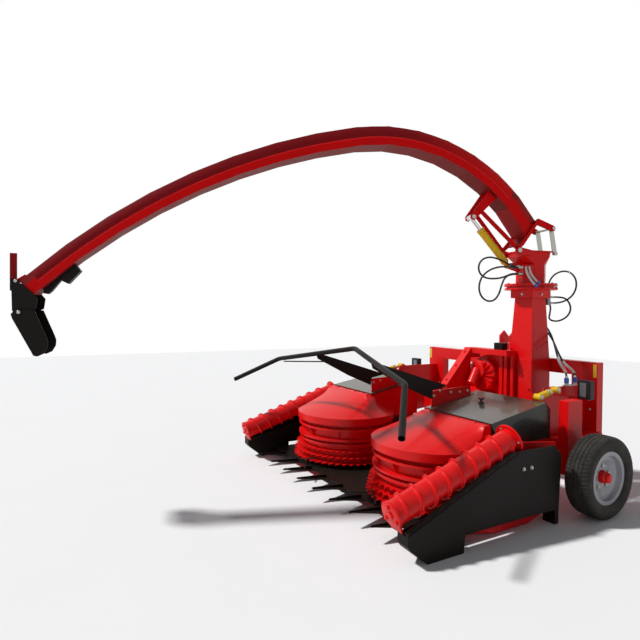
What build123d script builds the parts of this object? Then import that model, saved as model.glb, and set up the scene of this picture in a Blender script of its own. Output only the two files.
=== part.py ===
from build123d import *
from math import cos, degrees, hypot, pi, radians, sin, tan
import os

os.makedirs("parts", exist_ok=True)

# A mounted forage harvester for maize, millimetres.
# X runs across the machine, +Y points to the tractor hitch, Z is up and the floor is Z = 0.

# Driving places along Y and across X
drum_y = 555              # axles of the two gathering drums
drum_x = 612              # drum axle from the middle
axle_y = drum_y + 950     # transport wheel axle
turret_x = 460            # slewing axis of the spout
turret_y = drum_y + 1300
beam_y = drum_y + 1435    # front face of the rear cross beam
beam_size = 120           # height of the beam and of its lower tie
beam_depth = 80
hitch_y = drum_y + 1640   # lower hitch pins

# Driving sizes
sheet = 8                 # folded sheet metal
plate = 16                # thick frame plate
run_gap = 0.3             # seat of one piece on another
clear = 8                 # air beside moving pieces

# Header table and its fingers
table_z = 70
table_front = drum_y - 500
table_back = drum_y + 590
finger_tip_y = drum_y - 775
finger_pitch = 260
finger_count = 8
finger_root = 150
finger_point = 14
finger_rise = 35

# Gathering drums
pedestal_r = 80
rotor_z = 118             # underside of the lowest disc
rotor_r = 395
rotor_top = 452
ring_r = 452
disc_r = 465
tooth_depth = 35
tooth_count = 48
cover_r = 462
cover_z = rotor_top + clear
cover_band = 62

# Drive covers behind the drums
drive_x0 = 400
drive_front = drum_y + 170
drive_back = drum_y + 720
drive_base = 500
drive_front_top = 706
drive_back_top = 800

# Side panels with their noses: the auger lies beside the drum's rings, and the panel beside the auger
panel_wall = 10
nose_y = drum_y - 782

# Augers above the side panels
auger_x = drum_x + ring_r + 108
panel_inner = auger_x + 18
panel_x = panel_inner + 96   # outer face
table_half = panel_inner - 1
drive_x1 = auger_x - 122     # outer side of the drive covers
auger_front = (drum_y - 800, 292)
auger_back = (drum_y + 190, 615)
auger_tube_r = 78
auger_flight_r = 96
auger_pitch = 116
auger_shaft_r = 25
flight_wall = 7

# Wheels
tyre_r = 298
tyre_w = 186
tyre_x = 1345             # middle of the tyre
rim_r = 190
rim_lip_r = 202
hub_r = 58
axle_r = 25
post_x = 1110
post_w = 80
post_d = 170

# Chopper
fly_x = 170
fly_z = 640
fly_r = 440
fly_front = turret_y - 125
fly_back = turret_y + 125
feed_half = 280

# Discharge tower and slewing spout
tower_w = 240
tower_d = 244
tower_top_w = 174
tower_top_d = 180
tower_z0 = 1062
tower_z1 = 1690
ring_z = 1722             # joint between the fixed ring and the turning one
ring_out = 226
funnel_top = 2035
heading = 15              # spout turned off straight ahead, degrees


def along(x):
    """Plane facing right at one place across the machine: y to the hitch, z up."""
    return Plane.YZ.offset(x)


spout_dir = (-sin(radians(heading)), -cos(radians(heading)), 0)
spout_side = (-cos(radians(heading)), sin(radians(heading)), 0)


def spout_plane(shift=0):
    """Upright plane of the spout: x forward from the slewing axis, y up."""
    base = (turret_x + shift * spout_side[0], turret_y + shift * spout_side[1], 0)
    return Plane(origin=base, x_dir=spout_dir, z_dir=spout_side)


def keep(piece, label):
    """Label a finished sub-part and write it to its own file."""
    piece.part.label = label
    export_step(piece.part, f"parts/{label}.step")


sides = (("left", -1), ("right", 1))


def block(x0, x1, y0, y1, z0, z1, mode=Mode.ADD):
    """Box between two corners, given in any order."""
    with Locations(((x0 + x1) / 2, (y0 + y1) / 2, (z0 + z1) / 2)):
        Box(abs(x1 - x0), abs(y1 - y0), abs(z1 - z0), mode=mode)


def slab(plane, points, thick, both=False, mode=Mode.ADD):
    """Plate of one outline, extruded from a plane."""
    with BuildSketch(plane) as outline:
        with BuildLine():
            Polyline(*points, close=True)
        make_face()
    extrude(outline.sketch, amount=thick, both=both, mode=mode)


def rod(start, end, radius, mode=Mode.ADD):
    """Round bar between two points."""
    run = Vector(*end) - Vector(*start)
    with BuildSketch(Plane(origin=start, z_dir=run)) as section:
        Circle(radius)
    extrude(section.sketch, amount=run.length, mode=mode)


def turned(centre, direction, points, mode=Mode.ADD):
    """Round piece: a profile of radius and height, turned about a line."""
    line = Vector(*direction).normalized()
    radial = Vector(1, 0, 0) if abs(line.X) < 0.9 else Vector(0, 1, 0)
    radial = (radial - line * radial.dot(line)).normalized()
    with BuildSketch(Plane(origin=centre, x_dir=radial, z_dir=radial.cross(line))) as profile:
        with BuildLine():
            Polyline(*points, close=True)
        make_face()
    revolve(profile.sketch, axis=Axis(centre, tuple(line)), mode=mode)


# Header table: floor sheet, finger plates, pedestals of the two drums and the middle divider
with BuildPart() as table:
    block(-table_half, table_half, table_front, table_back, table_z, table_z + sheet)
    for number in range(finger_count):
        x = (number - (finger_count - 1) / 2) * finger_pitch
        root_z = table_z + sheet
        tip = (finger_tip_y, root_z + finger_rise)
        slab(along(x), [(table_front + 5, table_z + 1), (table_front + 5, root_z + 22),
                        (tip[0] + 7, tip[1] + 3), (tip[0] + 7, tip[1] - 11)], finger_point / 2 - 2, both=True)
        with BuildSketch(Plane(origin=(x, table_front, root_z - 1), x_dir=(1, 0, 0),
                               z_dir=(0, finger_rise, -(tip[0] - table_front)))) as blade:
            reach = hypot(table_front - tip[0], finger_rise)
            with BuildLine():
                Polyline((-finger_root / 2, 6), (finger_root / 2, 6), (finger_root / 2, 0),
                         (finger_point / 2, -reach), (-finger_point / 2, -reach), (-finger_root / 2, 0), close=True)
            make_face()
        extrude(blade.sketch, amount=2.5 - sheet)
    for side, s in sides:
        with Locations((s * drum_x, drum_y, table_z + sheet)):
            Cylinder(pedestal_r, rotor_z - run_gap - table_z - sheet,
                     align=(Align.CENTER, Align.CENTER, Align.MIN))
keep(table, "header_table")

# Round dished skids under the table, one below each drum
dish_r = ring_r + 216
dish_foot_r = dish_r - 68
dish_z = 6
dish_y = drum_y + 205
dish_apart = 20              # half the air between the two skids
with BuildPart() as dishes:
    for side, s in sides:
        turned((s * drum_x, dish_y, 0), (0, 0, 1),
               [(0, dish_z), (dish_foot_r, dish_z), (dish_r, table_z - 6), (dish_r, table_z), (0, table_z)])
    block(-dish_apart, dish_apart, table_front - 100, 2 * dish_y, 0, table_z + 1, mode=Mode.SUBTRACT)
    block(-table_half, table_half, table_back - 5, 2 * dish_y, 0, table_z + 1, mode=Mode.SUBTRACT)
    for side, s in sides:
        block(s * panel_inner, s * 2 * panel_inner, 0, 2 * dish_y, 0, table_z + 1, mode=Mode.SUBTRACT)
keep(dishes, "table_dishes")


# Gathering drums: shaft, ribbed body with three rings, carrier lugs and toothed discs
# Columns: underside height, root radius, tooth depth
toothed_discs = ((rotor_z, disc_r, tooth_depth), (rotor_z + 52, disc_r - 10, tooth_depth),
                 (rotor_z + 104, disc_r - 25, tooth_depth))
disc_wall = 8
# Columns: underside height, height, outer radius
drum_rings = ((rotor_z + 150, 22, ring_r - 14), (rotor_z + 196, 18, ring_r), (rotor_z + 290, 16, ring_r))
rotor_wall = 12
rotor_shaft_r = 60
ring_seat = rotor_r - rotor_wall / 2
lug_count = 9
lug_width = 90
lug_wall = 10


def saw_outline(root, depth, count, hand):
    """Closed outline of a toothed disc whose teeth lean one way."""
    points = []
    for tooth in range(count):
        start = 2 * pi * tooth / count
        step = 2 * pi / count
        for share, radius in ((0.0, root), (0.55, root + depth), (0.68, root + depth), (0.78, root)):
            angle = hand * (start + share * step)
            points.append((radius * cos(angle), radius * sin(angle)))
    return points


for side, s in sides:
    with BuildPart() as drum:
        axis_at = (s * drum_x, drum_y, 0)
        turned(axis_at, (0, 0, 1),
               [(0, rotor_z), (rotor_r, rotor_z), (rotor_r, rotor_top), (rotor_r - rotor_wall, rotor_top),
                (rotor_r - rotor_wall, rotor_z + rotor_wall), (rotor_shaft_r, rotor_z + rotor_wall),
                (rotor_shaft_r, rotor_top), (0, rotor_top)])
        for low, height, radius in drum_rings:
            turned(axis_at, (0, 0, 1), [(ring_seat, low), (radius, low), (radius, low + height),
                                        (ring_seat, low + height)])
        for low, root, depth in toothed_discs:
            slab(Plane.XY.offset(low).move(Location((s * drum_x, drum_y, 0))),
                 saw_outline(root, depth, tooth_count, s), disc_wall)
        top_ring = drum_rings[2][0]
        mid_ring = drum_rings[1][0] + drum_rings[1][1]
        for number in range(lug_count):
            turn = 360 * number / lug_count
            lug = Plane(origin=axis_at, x_dir=(cos(radians(turn)), sin(radians(turn)), 0),
                        z_dir=(sin(radians(turn)), -cos(radians(turn)), 0))
            slab(lug, [(ring_seat, mid_ring - 4), (rotor_r + 8, mid_ring - 4), (ring_r - 2, top_ring + 4),
                       (ring_seat, top_ring + 4)], lug_wall / 2, both=True)
    keep(drum, f"drum_{side}")


# Red covers over the drums: round band, sloping front and the gear case behind it
case_half = (drive_x1 - drive_x0) / 2
case_mid = (drive_x1 + drive_x0) / 2
crown_top = 699              # the fairing rises to here under the lid's front edge
crown_front = drum_y + 85
lid_lap = 30                 # the lid reaches this far over the fairing
slope = (drive_back_top - drive_front_top) / (drive_back - drive_front)
for side, s in sides:
    with BuildPart() as cover:
        with Locations((s * drum_x, drum_y, cover_z)):
            Cylinder(cover_r, cover_band, align=(Align.CENTER, Align.CENTER, Align.MIN))
        with BuildSketch(Plane((s * drum_x, drum_y, cover_z + cover_band))) as rim:
            Circle(cover_r - 4)
        with BuildSketch(Plane((s * case_mid, (crown_front + drive_front + 10) / 2, crown_top - sheet))) as crown:
            Rectangle(2 * case_half - 2, drive_front + 10 - crown_front)
        loft([rim.sketch, crown.sketch], ruled=True)
        block(s * drive_x1, s * (drive_x1 + 60), drive_front - lid_lap - 1, drive_back, cover_z + cover_band, crown_top,
              mode=Mode.SUBTRACT)
        case_low = cover_z
        slab(along(s * drive_x0), [(drive_front, case_low), (drive_back, case_low),
                                   (drive_back, drive_back_top - sheet), (drive_front, drive_front_top - sheet)],
             s * 2 * case_half)
    keep(cover, f"drum_cover_{side}")

# Black drive covers: sloping lid, outer cheek and the lid's knob
knob_r = 22
knob_h = 46
for side, s in sides:
    with BuildPart() as lid:
        top = run_gap
        slab(along(s * (drive_x0 - lid_lap)),
             [(drive_front - lid_lap, drive_front_top - sheet - slope * lid_lap + top),
              (drive_back + sheet, drive_back_top - sheet + slope * sheet + top),
              (drive_back + sheet, drive_back_top + slope * sheet + top),
              (drive_front - lid_lap, drive_front_top - slope * lid_lap + top)],
             s * (2 * case_half + lid_lap + run_gap + sheet))
        slab(along(s * (drive_x1 + run_gap)),
             [(drive_front, drive_front_top - 150), (drive_front - lid_lap, drive_front_top - slope * lid_lap - 2),
              (drive_back + sheet, drive_back_top - 2), (drive_back + 60, drive_back_top - 50),
              (drive_back + 60, drive_base + 30), (drive_front + 160, drive_base + 30)], s * sheet)
        knob_y = (drive_front + drive_back) / 2 + 20
        knob_z = drive_front_top + slope * (knob_y - drive_front)
        turned((s * (case_mid - 60), knob_y, knob_z - 3), (0, 0, 1),
               [(0, 0), (knob_r, 0), (knob_r, 14), (9, 18), (9, knob_h - 18), (knob_r, knob_h - 12),
                (knob_r, knob_h), (0, knob_h)])
    keep(lid, f"drive_cover_{side}")


# Side panels: outer and inner sheet, nose, floor shoe and the bearing post under the auger's nose
panel_outline = [(nose_y, 131), (nose_y, 199), (drum_y + 158, 562), (drum_y + 515, 558), (drum_y + 595, 483),
                 (drum_y + 571, 103), (drum_y - 321, 120)]
inner_outline = [(nose_y, 131), (nose_y, 190), (nose_y + 20, 190), (drum_y - 120, 330), (drum_y + 571, 330),
                 (drum_y + 571, 103), (drum_y - 321, 120)]
shoe_outline = [(nose_y, 131), (nose_y + 20, 105), (nose_y + 150, 0), (nose_y + 440, 0), (nose_y + 452, 124),
                (nose_y + 200, 150)]
for side, s in sides:
    with BuildPart() as panel:
        slab(along(s * panel_x), panel_outline, -s * panel_wall)
        slab(along(s * panel_inner), inner_outline, s * panel_wall)
        block(s * (panel_inner + 1), s * (panel_x - 1), nose_y, nose_y + panel_wall, 131, 190)
        slab(along(s * panel_inner), shoe_outline, s * (panel_x - panel_inner))
        block(s * (panel_inner + 1), s * (panel_x - 1), drum_y - 321, drum_y + 570, 110, 118)
        block(s * (panel_inner + 1), s * (panel_x - 1), drum_y + 561, drum_y + 571, 112, 480)
        block(s * panel_inner, s * panel_x, drum_y + 530, drum_y + 570, 2, 112)
    keep(panel, f"side_panel_{side}")


# Augers: tube, helical flight, end flange and through shaft, leaning back along the side panels
auger_run = Vector(0, auger_back[0] - auger_front[0], auger_back[1] - auger_front[1])
auger_len = auger_run.length
auger_line = auger_run.normalized()
flange_r = 108
stub_len = 26
flight_turns = 8
for side, s in sides:
    start = (s * auger_x, auger_front[0], auger_front[1])
    frame = Plane(origin=start, x_dir=(s, 0, 0), z_dir=tuple(auger_line))
    with BuildPart() as auger:
        turned(start, tuple(auger_line),
               [(0, -stub_len), (auger_shaft_r, -stub_len), (auger_shaft_r, 0), (auger_tube_r, 0),
                (auger_tube_r, auger_len), (auger_shaft_r, auger_len), (auger_shaft_r, auger_len + stub_len),
                (0, auger_len + stub_len)])
        turned(start, tuple(auger_line),
               [(auger_tube_r - 5, auger_len - 12), (flange_r, auger_len - 12), (flange_r, auger_len),
                (auger_tube_r - 5, auger_len)])
        middle_r = (auger_tube_r + auger_flight_r) / 2 - 1
        coil = Helix(auger_pitch, auger_pitch * flight_turns, middle_r, lefthand=s < 0, mode=Mode.PRIVATE)
        spiral = frame.offset(40) * coil
        with BuildSketch(Plane(origin=spiral @ 0, x_dir=(s, 0, 0), z_dir=spiral % 0)) as blade:
            Rectangle(auger_flight_r - auger_tube_r + 2, flight_wall)
        sweep(blade.sketch, path=spiral, is_frenet=True)
    keep(auger, f"auger_{side}")


# Header frame: cross beam behind the table, with the wall sheets beside the crop opening
beam_back_y = drum_y + 590
beam_back_d = 110
throat_half = 290
back_low = 320
back_high = 440
with BuildPart() as header_frame:
    block(-panel_inner + 1, panel_inner - 1, beam_back_y, beam_back_y + beam_back_d, back_low, back_high)
    for side, s in sides:
        block(s * throat_half, s * (panel_inner - 1), beam_back_y, beam_back_y + sheet,
              table_z + sheet + run_gap, back_low + 1)
        block(s * (drive_x0 + 30), s * (drive_x1 - 30), beam_back_y + 10, beam_back_y + beam_back_d,
              back_high - 1, cover_z - run_gap)
keep(header_frame, "header_frame")

# Auger bearings: round plate at the nose, bracket plate and arm at the back
bearing_bore = auger_shaft_r + 0.05
bearing_wall = 14
bearing_r = 52
arm_wall = 12


def auger_point(ahead, below):
    """Place beside the auger's front end: distance along its axis and distance under it."""
    return (auger_front[0] + ahead * auger_line.Y + below * auger_line.Z,
            auger_front[1] + ahead * auger_line.Z - below * auger_line.Y)


with BuildPart() as bearing_front:
    for side, s in sides:
        nose = Vector(s * auger_x, auger_front[0], auger_front[1])
        turned(tuple(nose - auger_line * (bearing_wall + 3)), tuple(auger_line),
               [(bearing_bore, 0), (auger_tube_r + 6, 0), (auger_tube_r + 6, bearing_wall),
                (bearing_bore, bearing_wall)])
        slab(along(s * (auger_x - 40)),
             [auger_point(-16, 50), auger_point(-4, 50), auger_point(-4, 72), (nose_y + 9, 190 + run_gap),
              (nose_y, 190 + run_gap)], s * 100)
keep(bearing_front, "auger_noses")

with BuildPart() as bearing_back:
    for side, s in sides:
        tail = Vector(s * auger_x, auger_front[0], auger_front[1]) + auger_run
        turned(tuple(tail + auger_line * 3), tuple(auger_line),
               [(bearing_bore, 0), (bearing_r, 0), (bearing_r, bearing_wall), (bearing_bore, bearing_wall)])
        slab(along(s * (auger_x - arm_wall / 2)),
             [auger_point(auger_len + 5, 30), auger_point(auger_len + 5, 110),
              (beam_back_y + 4, back_high + run_gap), (beam_back_y + 90, back_high + run_gap),
              (beam_back_y + 90, 540), auger_point(auger_len + 16, 30)], s * arm_wall)
keep(bearing_back, "auger_brackets")

# Rear cross beam on two broad legs, the plates that tie it to the header with the lamps' shelves,
# the front brackets of the short rams, and the lamps
leg_x0 = 790
leg_x1 = 1020
beam_top = 1070
leg_low = 380
tie_x = 900
tie_top = 880
tie_low = 330
with BuildPart() as rear_beam:
    block(-leg_x1, leg_x1, beam_y, beam_y + beam_depth, beam_top - beam_size, beam_top)
    for side, s in sides:
        block(s * leg_x0, s * leg_x1, beam_y, beam_y + beam_depth, leg_low, beam_top)
    block(-leg_x1, leg_x1, beam_y, beam_y + beam_depth, leg_low, leg_low + beam_size)
    for low in (beam_top - beam_size + 10, leg_low + 10):
        block(0, 340, fly_back + run_gap, beam_y + 1, low, low + beam_size - 20)
keep(rear_beam, "rear_beam")

lamp_box = ((985, 1095), (1780, 1830), (788, 938))
tilt_x = 970
tilt_front = (1312, 829)
tilt_back = (1520, 872)
tilt_eye = 30
bracket_in = tilt_x - tilt_eye - run_gap
bracket_out = tie_x + plate
with BuildPart() as tie_plates:
    for side, s in sides:
        slab(along(s * tie_x), [(beam_back_y + beam_back_d + run_gap, tie_low),
                                (beam_back_y + beam_back_d + run_gap, cover_z - clear),
                                (drive_back + 90, cover_z - clear), (drive_back + 90, 700),
                                (drive_back + 180, tie_top), (beam_y - run_gap, tie_top),
                                (beam_y - run_gap, leg_low + 20)], s * plate)
        block(s * (bracket_out - 1), s * 1070, 1786, 1824, lamp_box[2][0] - run_gap - sheet, lamp_box[2][0] - run_gap)
        block(s * (bracket_out - 1), s * (bracket_out + sheet), 1786, 1824, 680, lamp_box[2][0] - run_gap)
        rod((s * (bracket_out - 1), *tilt_back), (s * bracket_in, *tilt_back), 20)
keep(tie_plates, "tie_plates")

with BuildPart() as tilt_mounts:
    for side, s in sides:
        block(s * (bracket_in - 12), s * bracket_in, drive_back + sheet + 1, tilt_front[0] + 24, 700, tilt_front[1] + 24)
        block(s * (bracket_in - 12), s * bracket_in, drive_back + run_gap, drive_back + sheet + 2, 700, 780)
keep(tilt_mounts, "tilt_ram_brackets")

with BuildPart() as lamps:
    for side, s in sides:
        block(s * lamp_box[0][0], s * lamp_box[0][1], *lamp_box[1], *lamp_box[2])
keep(lamps, "lamps")

# Three-point headstock: two upright plates with the top link hole, and ears for the lower pins
mast_x = 52
mast_wall = 18
mast_height = 610
lower_z = 560
lower_half = 412
lower_pin_r = 14
pin_root_r = 20             # the pin's thicker root, held in the ears
top_pin_r = 12.9
ear_wall = 20
beam_rear = beam_y + beam_depth
with BuildPart() as headstock:
    for side, s in sides:
        slab(along(s * mast_x), [(beam_rear + run_gap, beam_top - beam_size - 20), (beam_rear + run_gap, beam_top + 180),
                                 (beam_rear + 60, beam_top + 230), (hitch_y + 36, lower_z + mast_height + 34),
                                 (hitch_y + 36, lower_z + mast_height - 34),
                                 (beam_rear + 80, beam_top - beam_size - 20)], s * mast_wall)
        for inner in (lower_half - 100, lower_half - 20):
            slab(along(s * inner), [(beam_rear + run_gap, leg_low + 10), (beam_rear + run_gap, lower_z + 90),
                                    (hitch_y + 40, lower_z + 40), (hitch_y + 40, lower_z - 40)], s * ear_wall)
    with Locations(Location((0, hitch_y, lower_z + mast_height), (0, 90, 0))):
        Cylinder(top_pin_r, 4 * mast_x, mode=Mode.SUBTRACT)
    for side, s in sides:
        with Locations(Location((s * lower_half, hitch_y, lower_z), (0, 90, 0))):
            Cylinder(pin_root_r + 0.05, 300, mode=Mode.SUBTRACT)
keep(headstock, "headstock")

pin_out = 70
with BuildPart() as hitch_pins:
    for side, s in sides:
        turned((s * (lower_half - 100), hitch_y, lower_z), (s, 0, 0),
               [(0, 0), (pin_root_r, 0), (pin_root_r, 100), (lower_pin_r, 100), (lower_pin_r, 100 + pin_out),
                (0, 100 + pin_out)])
keep(hitch_pins, "hitch_pins")

# Wheel posts with their stub axles
post_top = 812
post_low = 250
axle_end = tyre_x + 46
with BuildPart() as posts:
    for side, s in sides:
        block(s * (post_x - post_w / 2), s * (post_x + post_w / 2), axle_y - post_d / 2, axle_y + post_d / 2,
              post_low, post_top)
        rod((s * (post_x + post_w / 2 - 1), axle_y, tyre_r), (s * axle_end, axle_y, tyre_r), axle_r)
        block(s * (leg_x1 - 60), s * (post_x - post_w / 2 + 1), axle_y - 50, beam_y - run_gap, 420, 500)
keep(posts, "wheel_posts")

# Wheels: hub, dished rim and tyre
hub_len = 130
hub_x = tyre_x - 70
rim_wall = 5
for side, s in sides:
    centre = (s * tyre_x, axle_y, tyre_r)
    with BuildPart() as hub:
        turned((s * hub_x, axle_y, tyre_r), (s, 0, 0),
               [(axle_r + 0.05, 0), (hub_r, 0), (hub_r, 70), (hub_r + 30, 70), (hub_r + 30, 82), (hub_r - 14, 82),
                (hub_r - 14, hub_len - 12), (hub_r - 22, hub_len), (0, hub_len), (0, hub_len - 8),
                (axle_r + 0.05, hub_len - 8)])
    keep(hub, f"hub_{side}")
    disc_at = hub_x - tyre_x + 82 + run_gap
    half = tyre_w / 2 - 22
    with BuildPart() as rim:
        turned(centre, (s, 0, 0),
               [(hub_r - 10, disc_at), (96, disc_at), (132, disc_at + 26), (rim_r - 34, disc_at + 20),
                (rim_r - 26, -half), (rim_lip_r - 10, -half), (rim_lip_r - 10, -half + rim_wall),
                (rim_r - 20, -half + rim_wall), (rim_r - 28, disc_at + 24), (rim_r - 20, half - rim_wall),
                (rim_lip_r - 10, half - rim_wall), (rim_lip_r - 10, half), (rim_r - 26, half),
                (rim_r - 34, disc_at + 30), (130, disc_at + 32), (94, disc_at + 6), (hub_r - 10, disc_at + 6)])
    keep(rim, f"rim_{side}")
    bead = rim_lip_r - 10 + run_gap
    with BuildPart() as tyre:
        turned(centre, (s, 0, 0),
               [(bead, -half), (bead + 30, -tyre_w / 2 + 4), (bead + 62, -tyre_w / 2), (tyre_r - 12, -tyre_w / 2 + 14),
                (tyre_r, -tyre_w / 2 + 34), (tyre_r, tyre_w / 2 - 34), (tyre_r - 12, tyre_w / 2 - 14),
                (bead + 62, tyre_w / 2), (bead + 30, tyre_w / 2 - 4), (bead, half)])
    keep(tyre, f"tyre_{side}")


# Feed channel from the crop opening to the chopper, closed all round but for its mouth and its outlet
feed_front = beam_back_y + sheet + 1
feed_rise = beam_back_y + beam_back_d + clear
feed_end = fly_front - run_gap
feed_top = 700
inlet_x = (-150, 262)
inlet_z = (380, 660)
with BuildPart() as feed:
    slab(along(0), [(feed_front, table_z), (feed_front, 312), (feed_rise, 312), (feed_rise, feed_top),
                    (feed_end, feed_top), (feed_end, 240), (1410, table_z)], feed_half, both=True)
    slab(along(0), [(feed_front - 50, table_z + sheet), (feed_front - 50, 304), (feed_rise + sheet, 304),
                    (feed_rise + sheet, feed_top - sheet), (feed_end - sheet, feed_top - sheet),
                    (feed_end - sheet, 246), (1407, table_z + sheet)], feed_half - sheet, both=True,
         mode=Mode.SUBTRACT)
    block(*inlet_x, feed_end - 2 * sheet, feed_end + sheet, *inlet_z, mode=Mode.SUBTRACT)
keep(feed, "feed_housing")

# Upright guard on the feed channel: side plate with a folded edge, and the top plate
guard_slope = [(1290, 800), (1600, 1140)]
guard_back = fly_front - clear
guard_top = 1140
guard_fold = 75
guard_reach = 420
with BuildPart() as guard:
    slab(along(-sheet), [(1300, feed_top + run_gap), *guard_slope, (guard_back, guard_top),
                         (guard_back, 1045), (1596, 1045), (1596, feed_top + run_gap)], sheet)
    slab(along(-sheet), [guard_slope[0], guard_slope[1], (1600 + 11, guard_top - 6), (1290 + 9, 796)], -guard_fold)
    block(-guard_fold - sheet, guard_reach, 1600, guard_back, guard_top - sheet, guard_top)
    block(-guard_fold - sheet, guard_reach, 1600, 1600 + sheet, guard_top - 50, guard_top)
    block(guard_reach - sheet, guard_reach, 1600, guard_back, guard_top - 60, guard_top)
    for x0, x1 in ((262, 300), (318, 352), (guard_reach - 30, guard_reach)):
        block(x0, x1, guard_back - 34, guard_back, feed_top + run_gap, guard_top - 4)
keep(guard, "chopper_guard")

# Round gear housing of the feed rollers on the casing's front, its ribbed disc and the drive elbow
gear_face = fly_front - run_gap
gear_disc = (60, gear_face - 98, 930)
with BuildPart() as roller_gear:
    turned((90, gear_face, 880), (0, -1, 0), [(0, 0), (150, 0), (150, 70), (138, 84), (0, 84)])
    turned((gear_disc[0], gear_face - 70, gear_disc[2]), (0, -1, 0), [(0, 0), (85, 0), (85, 44), (60, 52), (0, 52)])
    rod((gear_disc[0], gear_face - 110, gear_disc[2]), (gear_disc[0] + 16, gear_face - 200, 800), 46)
keep(roller_gear, "roller_gearbox")

# Chopper: round casing open to the feed channel and to the tower, and the flywheel in it
outlet_x0 = turret_x - tower_w / 2 - 2
outlet_x1 = turret_x + tower_w / 2 + 2
with BuildPart() as casing:
    turned((fly_x, fly_front, fly_z), (0, 1, 0), [(0, 0), (fly_r, 0), (fly_r, fly_back - fly_front),
                                                  (0, fly_back - fly_front)])
    block(outlet_x0, outlet_x1, fly_front, fly_back, fly_z, tower_z0)
    turned((fly_x, fly_front + sheet, fly_z), (0, 1, 0),
           [(0, 0), (fly_r - sheet, 0), (fly_r - sheet, fly_back - fly_front - 2 * sheet),
            (0, fly_back - fly_front - 2 * sheet)], mode=Mode.SUBTRACT)
    block(outlet_x0 + sheet, outlet_x1 - sheet, fly_front + sheet, fly_back - sheet, fly_z, tower_z0 + 1,
          mode=Mode.SUBTRACT)
    block(*inlet_x, fly_front - 1, fly_front + 2 * sheet, *inlet_z, mode=Mode.SUBTRACT)
keep(casing, "chopper_casing")

with BuildPart() as flywheel:
    turned((fly_x, fly_front + 50, fly_z), (0, 1, 0),
           [(0, 0), (400, 0), (400, 60), (70, 60), (70, fly_back - fly_front - sheet - run_gap - 50),
            (0, fly_back - fly_front - sheet - run_gap - 50)])
keep(flywheel, "flywheel")

# Main gearbox behind the chopper, with the power take-off stub and its guard tube
pto_r = 17.4
pto_root_r = 22
pto_in = 60
pto_step = 18
pto_out = 92
gear_back = 2100
gear_low = leg_low + beam_size + 12
with BuildPart() as main_gear:
    block(-80, 250, fly_back + run_gap, gear_back, gear_low, 745)
    turned((0, gear_back - 1, fly_z), (0, 1, 0), [(0, 0), (46, 0), (46, 19), (0, 19)])
    turned((0, gear_back - pto_in, fly_z), (0, 1, 0),
           [(0, 0), (pto_root_r + 0.05, 0), (pto_root_r + 0.05, 2 * pto_in), (0, 2 * pto_in)], mode=Mode.SUBTRACT)
keep(main_gear, "main_gearbox")

with BuildPart() as pto:
    turned((0, gear_back - pto_in + 1, fly_z), (0, 1, 0),
           [(0, 0), (pto_root_r, 0), (pto_root_r, pto_in + pto_step), (pto_r, pto_in + pto_step),
            (pto_r, pto_in + pto_out), (0, pto_in + pto_out)])
keep(pto, "pto_stub")

with BuildPart() as pto_guard:
    turned((0, gear_back + run_gap, fly_z), (0, 1, 0), [(50, 0), (88, 0), (88, 80), (83, 80), (83, 6), (50, 6)])
keep(pto_guard, "pto_guard")

# Discharge tower: tapered hollow duct, foot flange, head plate and the fixed bearing ring
duct_wall = 6
tower_hole = 82
with BuildPart() as tower:
    for cut, mode in ((0, Mode.ADD), (duct_wall, Mode.SUBTRACT)):
        if cut == 0:
            with BuildSketch(Plane((turret_x, turret_y, tower_z1 - 1))) as head:
                RegularPolygon(radius=ring_out + 8, side_count=8, rotation=22.5)
            extrude(head.sketch, amount=15)
            turned((turret_x, turret_y, tower_z1 + 13), (0, 0, 1),
                   [(tower_hole, 0), (200, 0), (200, ring_z - tower_z1 - 13), (tower_hole, ring_z - tower_z1 - 13)])
        with BuildSketch(Plane((turret_x, turret_y, tower_z0 + run_gap))) as foot:
            Rectangle(tower_w - 2 * cut, tower_d - 2 * cut)
        with BuildSketch(Plane((turret_x, turret_y, tower_z1))) as top:
            Rectangle(tower_top_w - 2 * cut, tower_top_d - 2 * cut)
        loft([foot.sketch, top.sketch], ruled=True, mode=mode)
    with Locations((turret_x, turret_y, tower_z1 - 2)):
        Cylinder(tower_hole, ring_z - tower_z1 + 4, align=(Align.CENTER, Align.CENTER, Align.MIN),
                 mode=Mode.SUBTRACT)
keep(tower, "tower")

# Hydraulic slewing motor under the head plate
motor_back = turret_y + 169
port_r = 11
port_end = motor_back + 62
# Columns: place across and height of the ports on the motor's end block
motor_ports = ((500, 1576), (500, 1632), (440, 1664), (440, 1600))
motor_drains = ((480, 1990), (440, 1990))
with BuildPart() as motor:
    block(turret_x - 60, turret_x + 40, turret_y + 105, motor_back + 1, 1525, tower_z1 - 1 - run_gap)
    block(turret_x - 44, turret_x + 58, motor_back, motor_back + 40, 1556, tower_z1 - 4)
    for x, z in motor_ports:
        rod((x, motor_back + 39, z), (x, port_end, z), port_r)
    for x, y in motor_drains:
        rod((x, y, 1526), (x, y, 1505), port_r)
keep(motor, "slew_motor")


# Turret: turning ring, eight-sided neck that flares into the funnel, rim, hinge ears and ram bracket
hinge = (217, 2030)           # spout hinge, forward of the slewing axis and height
hinge_pin_r = 14
ram_base = (238, 1902)
ram_eye = (621, 2315)
ram_pin_r = 12
eye_slack = 2.6               # room in the rod's eye, which isn't pinned while the spout swings
funnel_half = 115
rim_half = 139
boom_ear = (105, 119)         # inner and outer face of the spout's ears, from the middle
turret_ear = (125, 139)
turret_port_end = 178
# Columns: place to the left of the spout and height of the ports on the turret's block
turret_ports = ((-76, 1892), (-76, 1830), (-108, 1880), (-108, 1824))
# Columns: height, back and front edge, half width, corner cut
funnel_steps = ((ring_z + run_gap + 18, -120, 120, 120, 70), (1915, -120, 120, 118, 68),
                (1985, -125, 172, funnel_half, 20), (funnel_top, -125, 180, funnel_half, 12))


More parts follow.
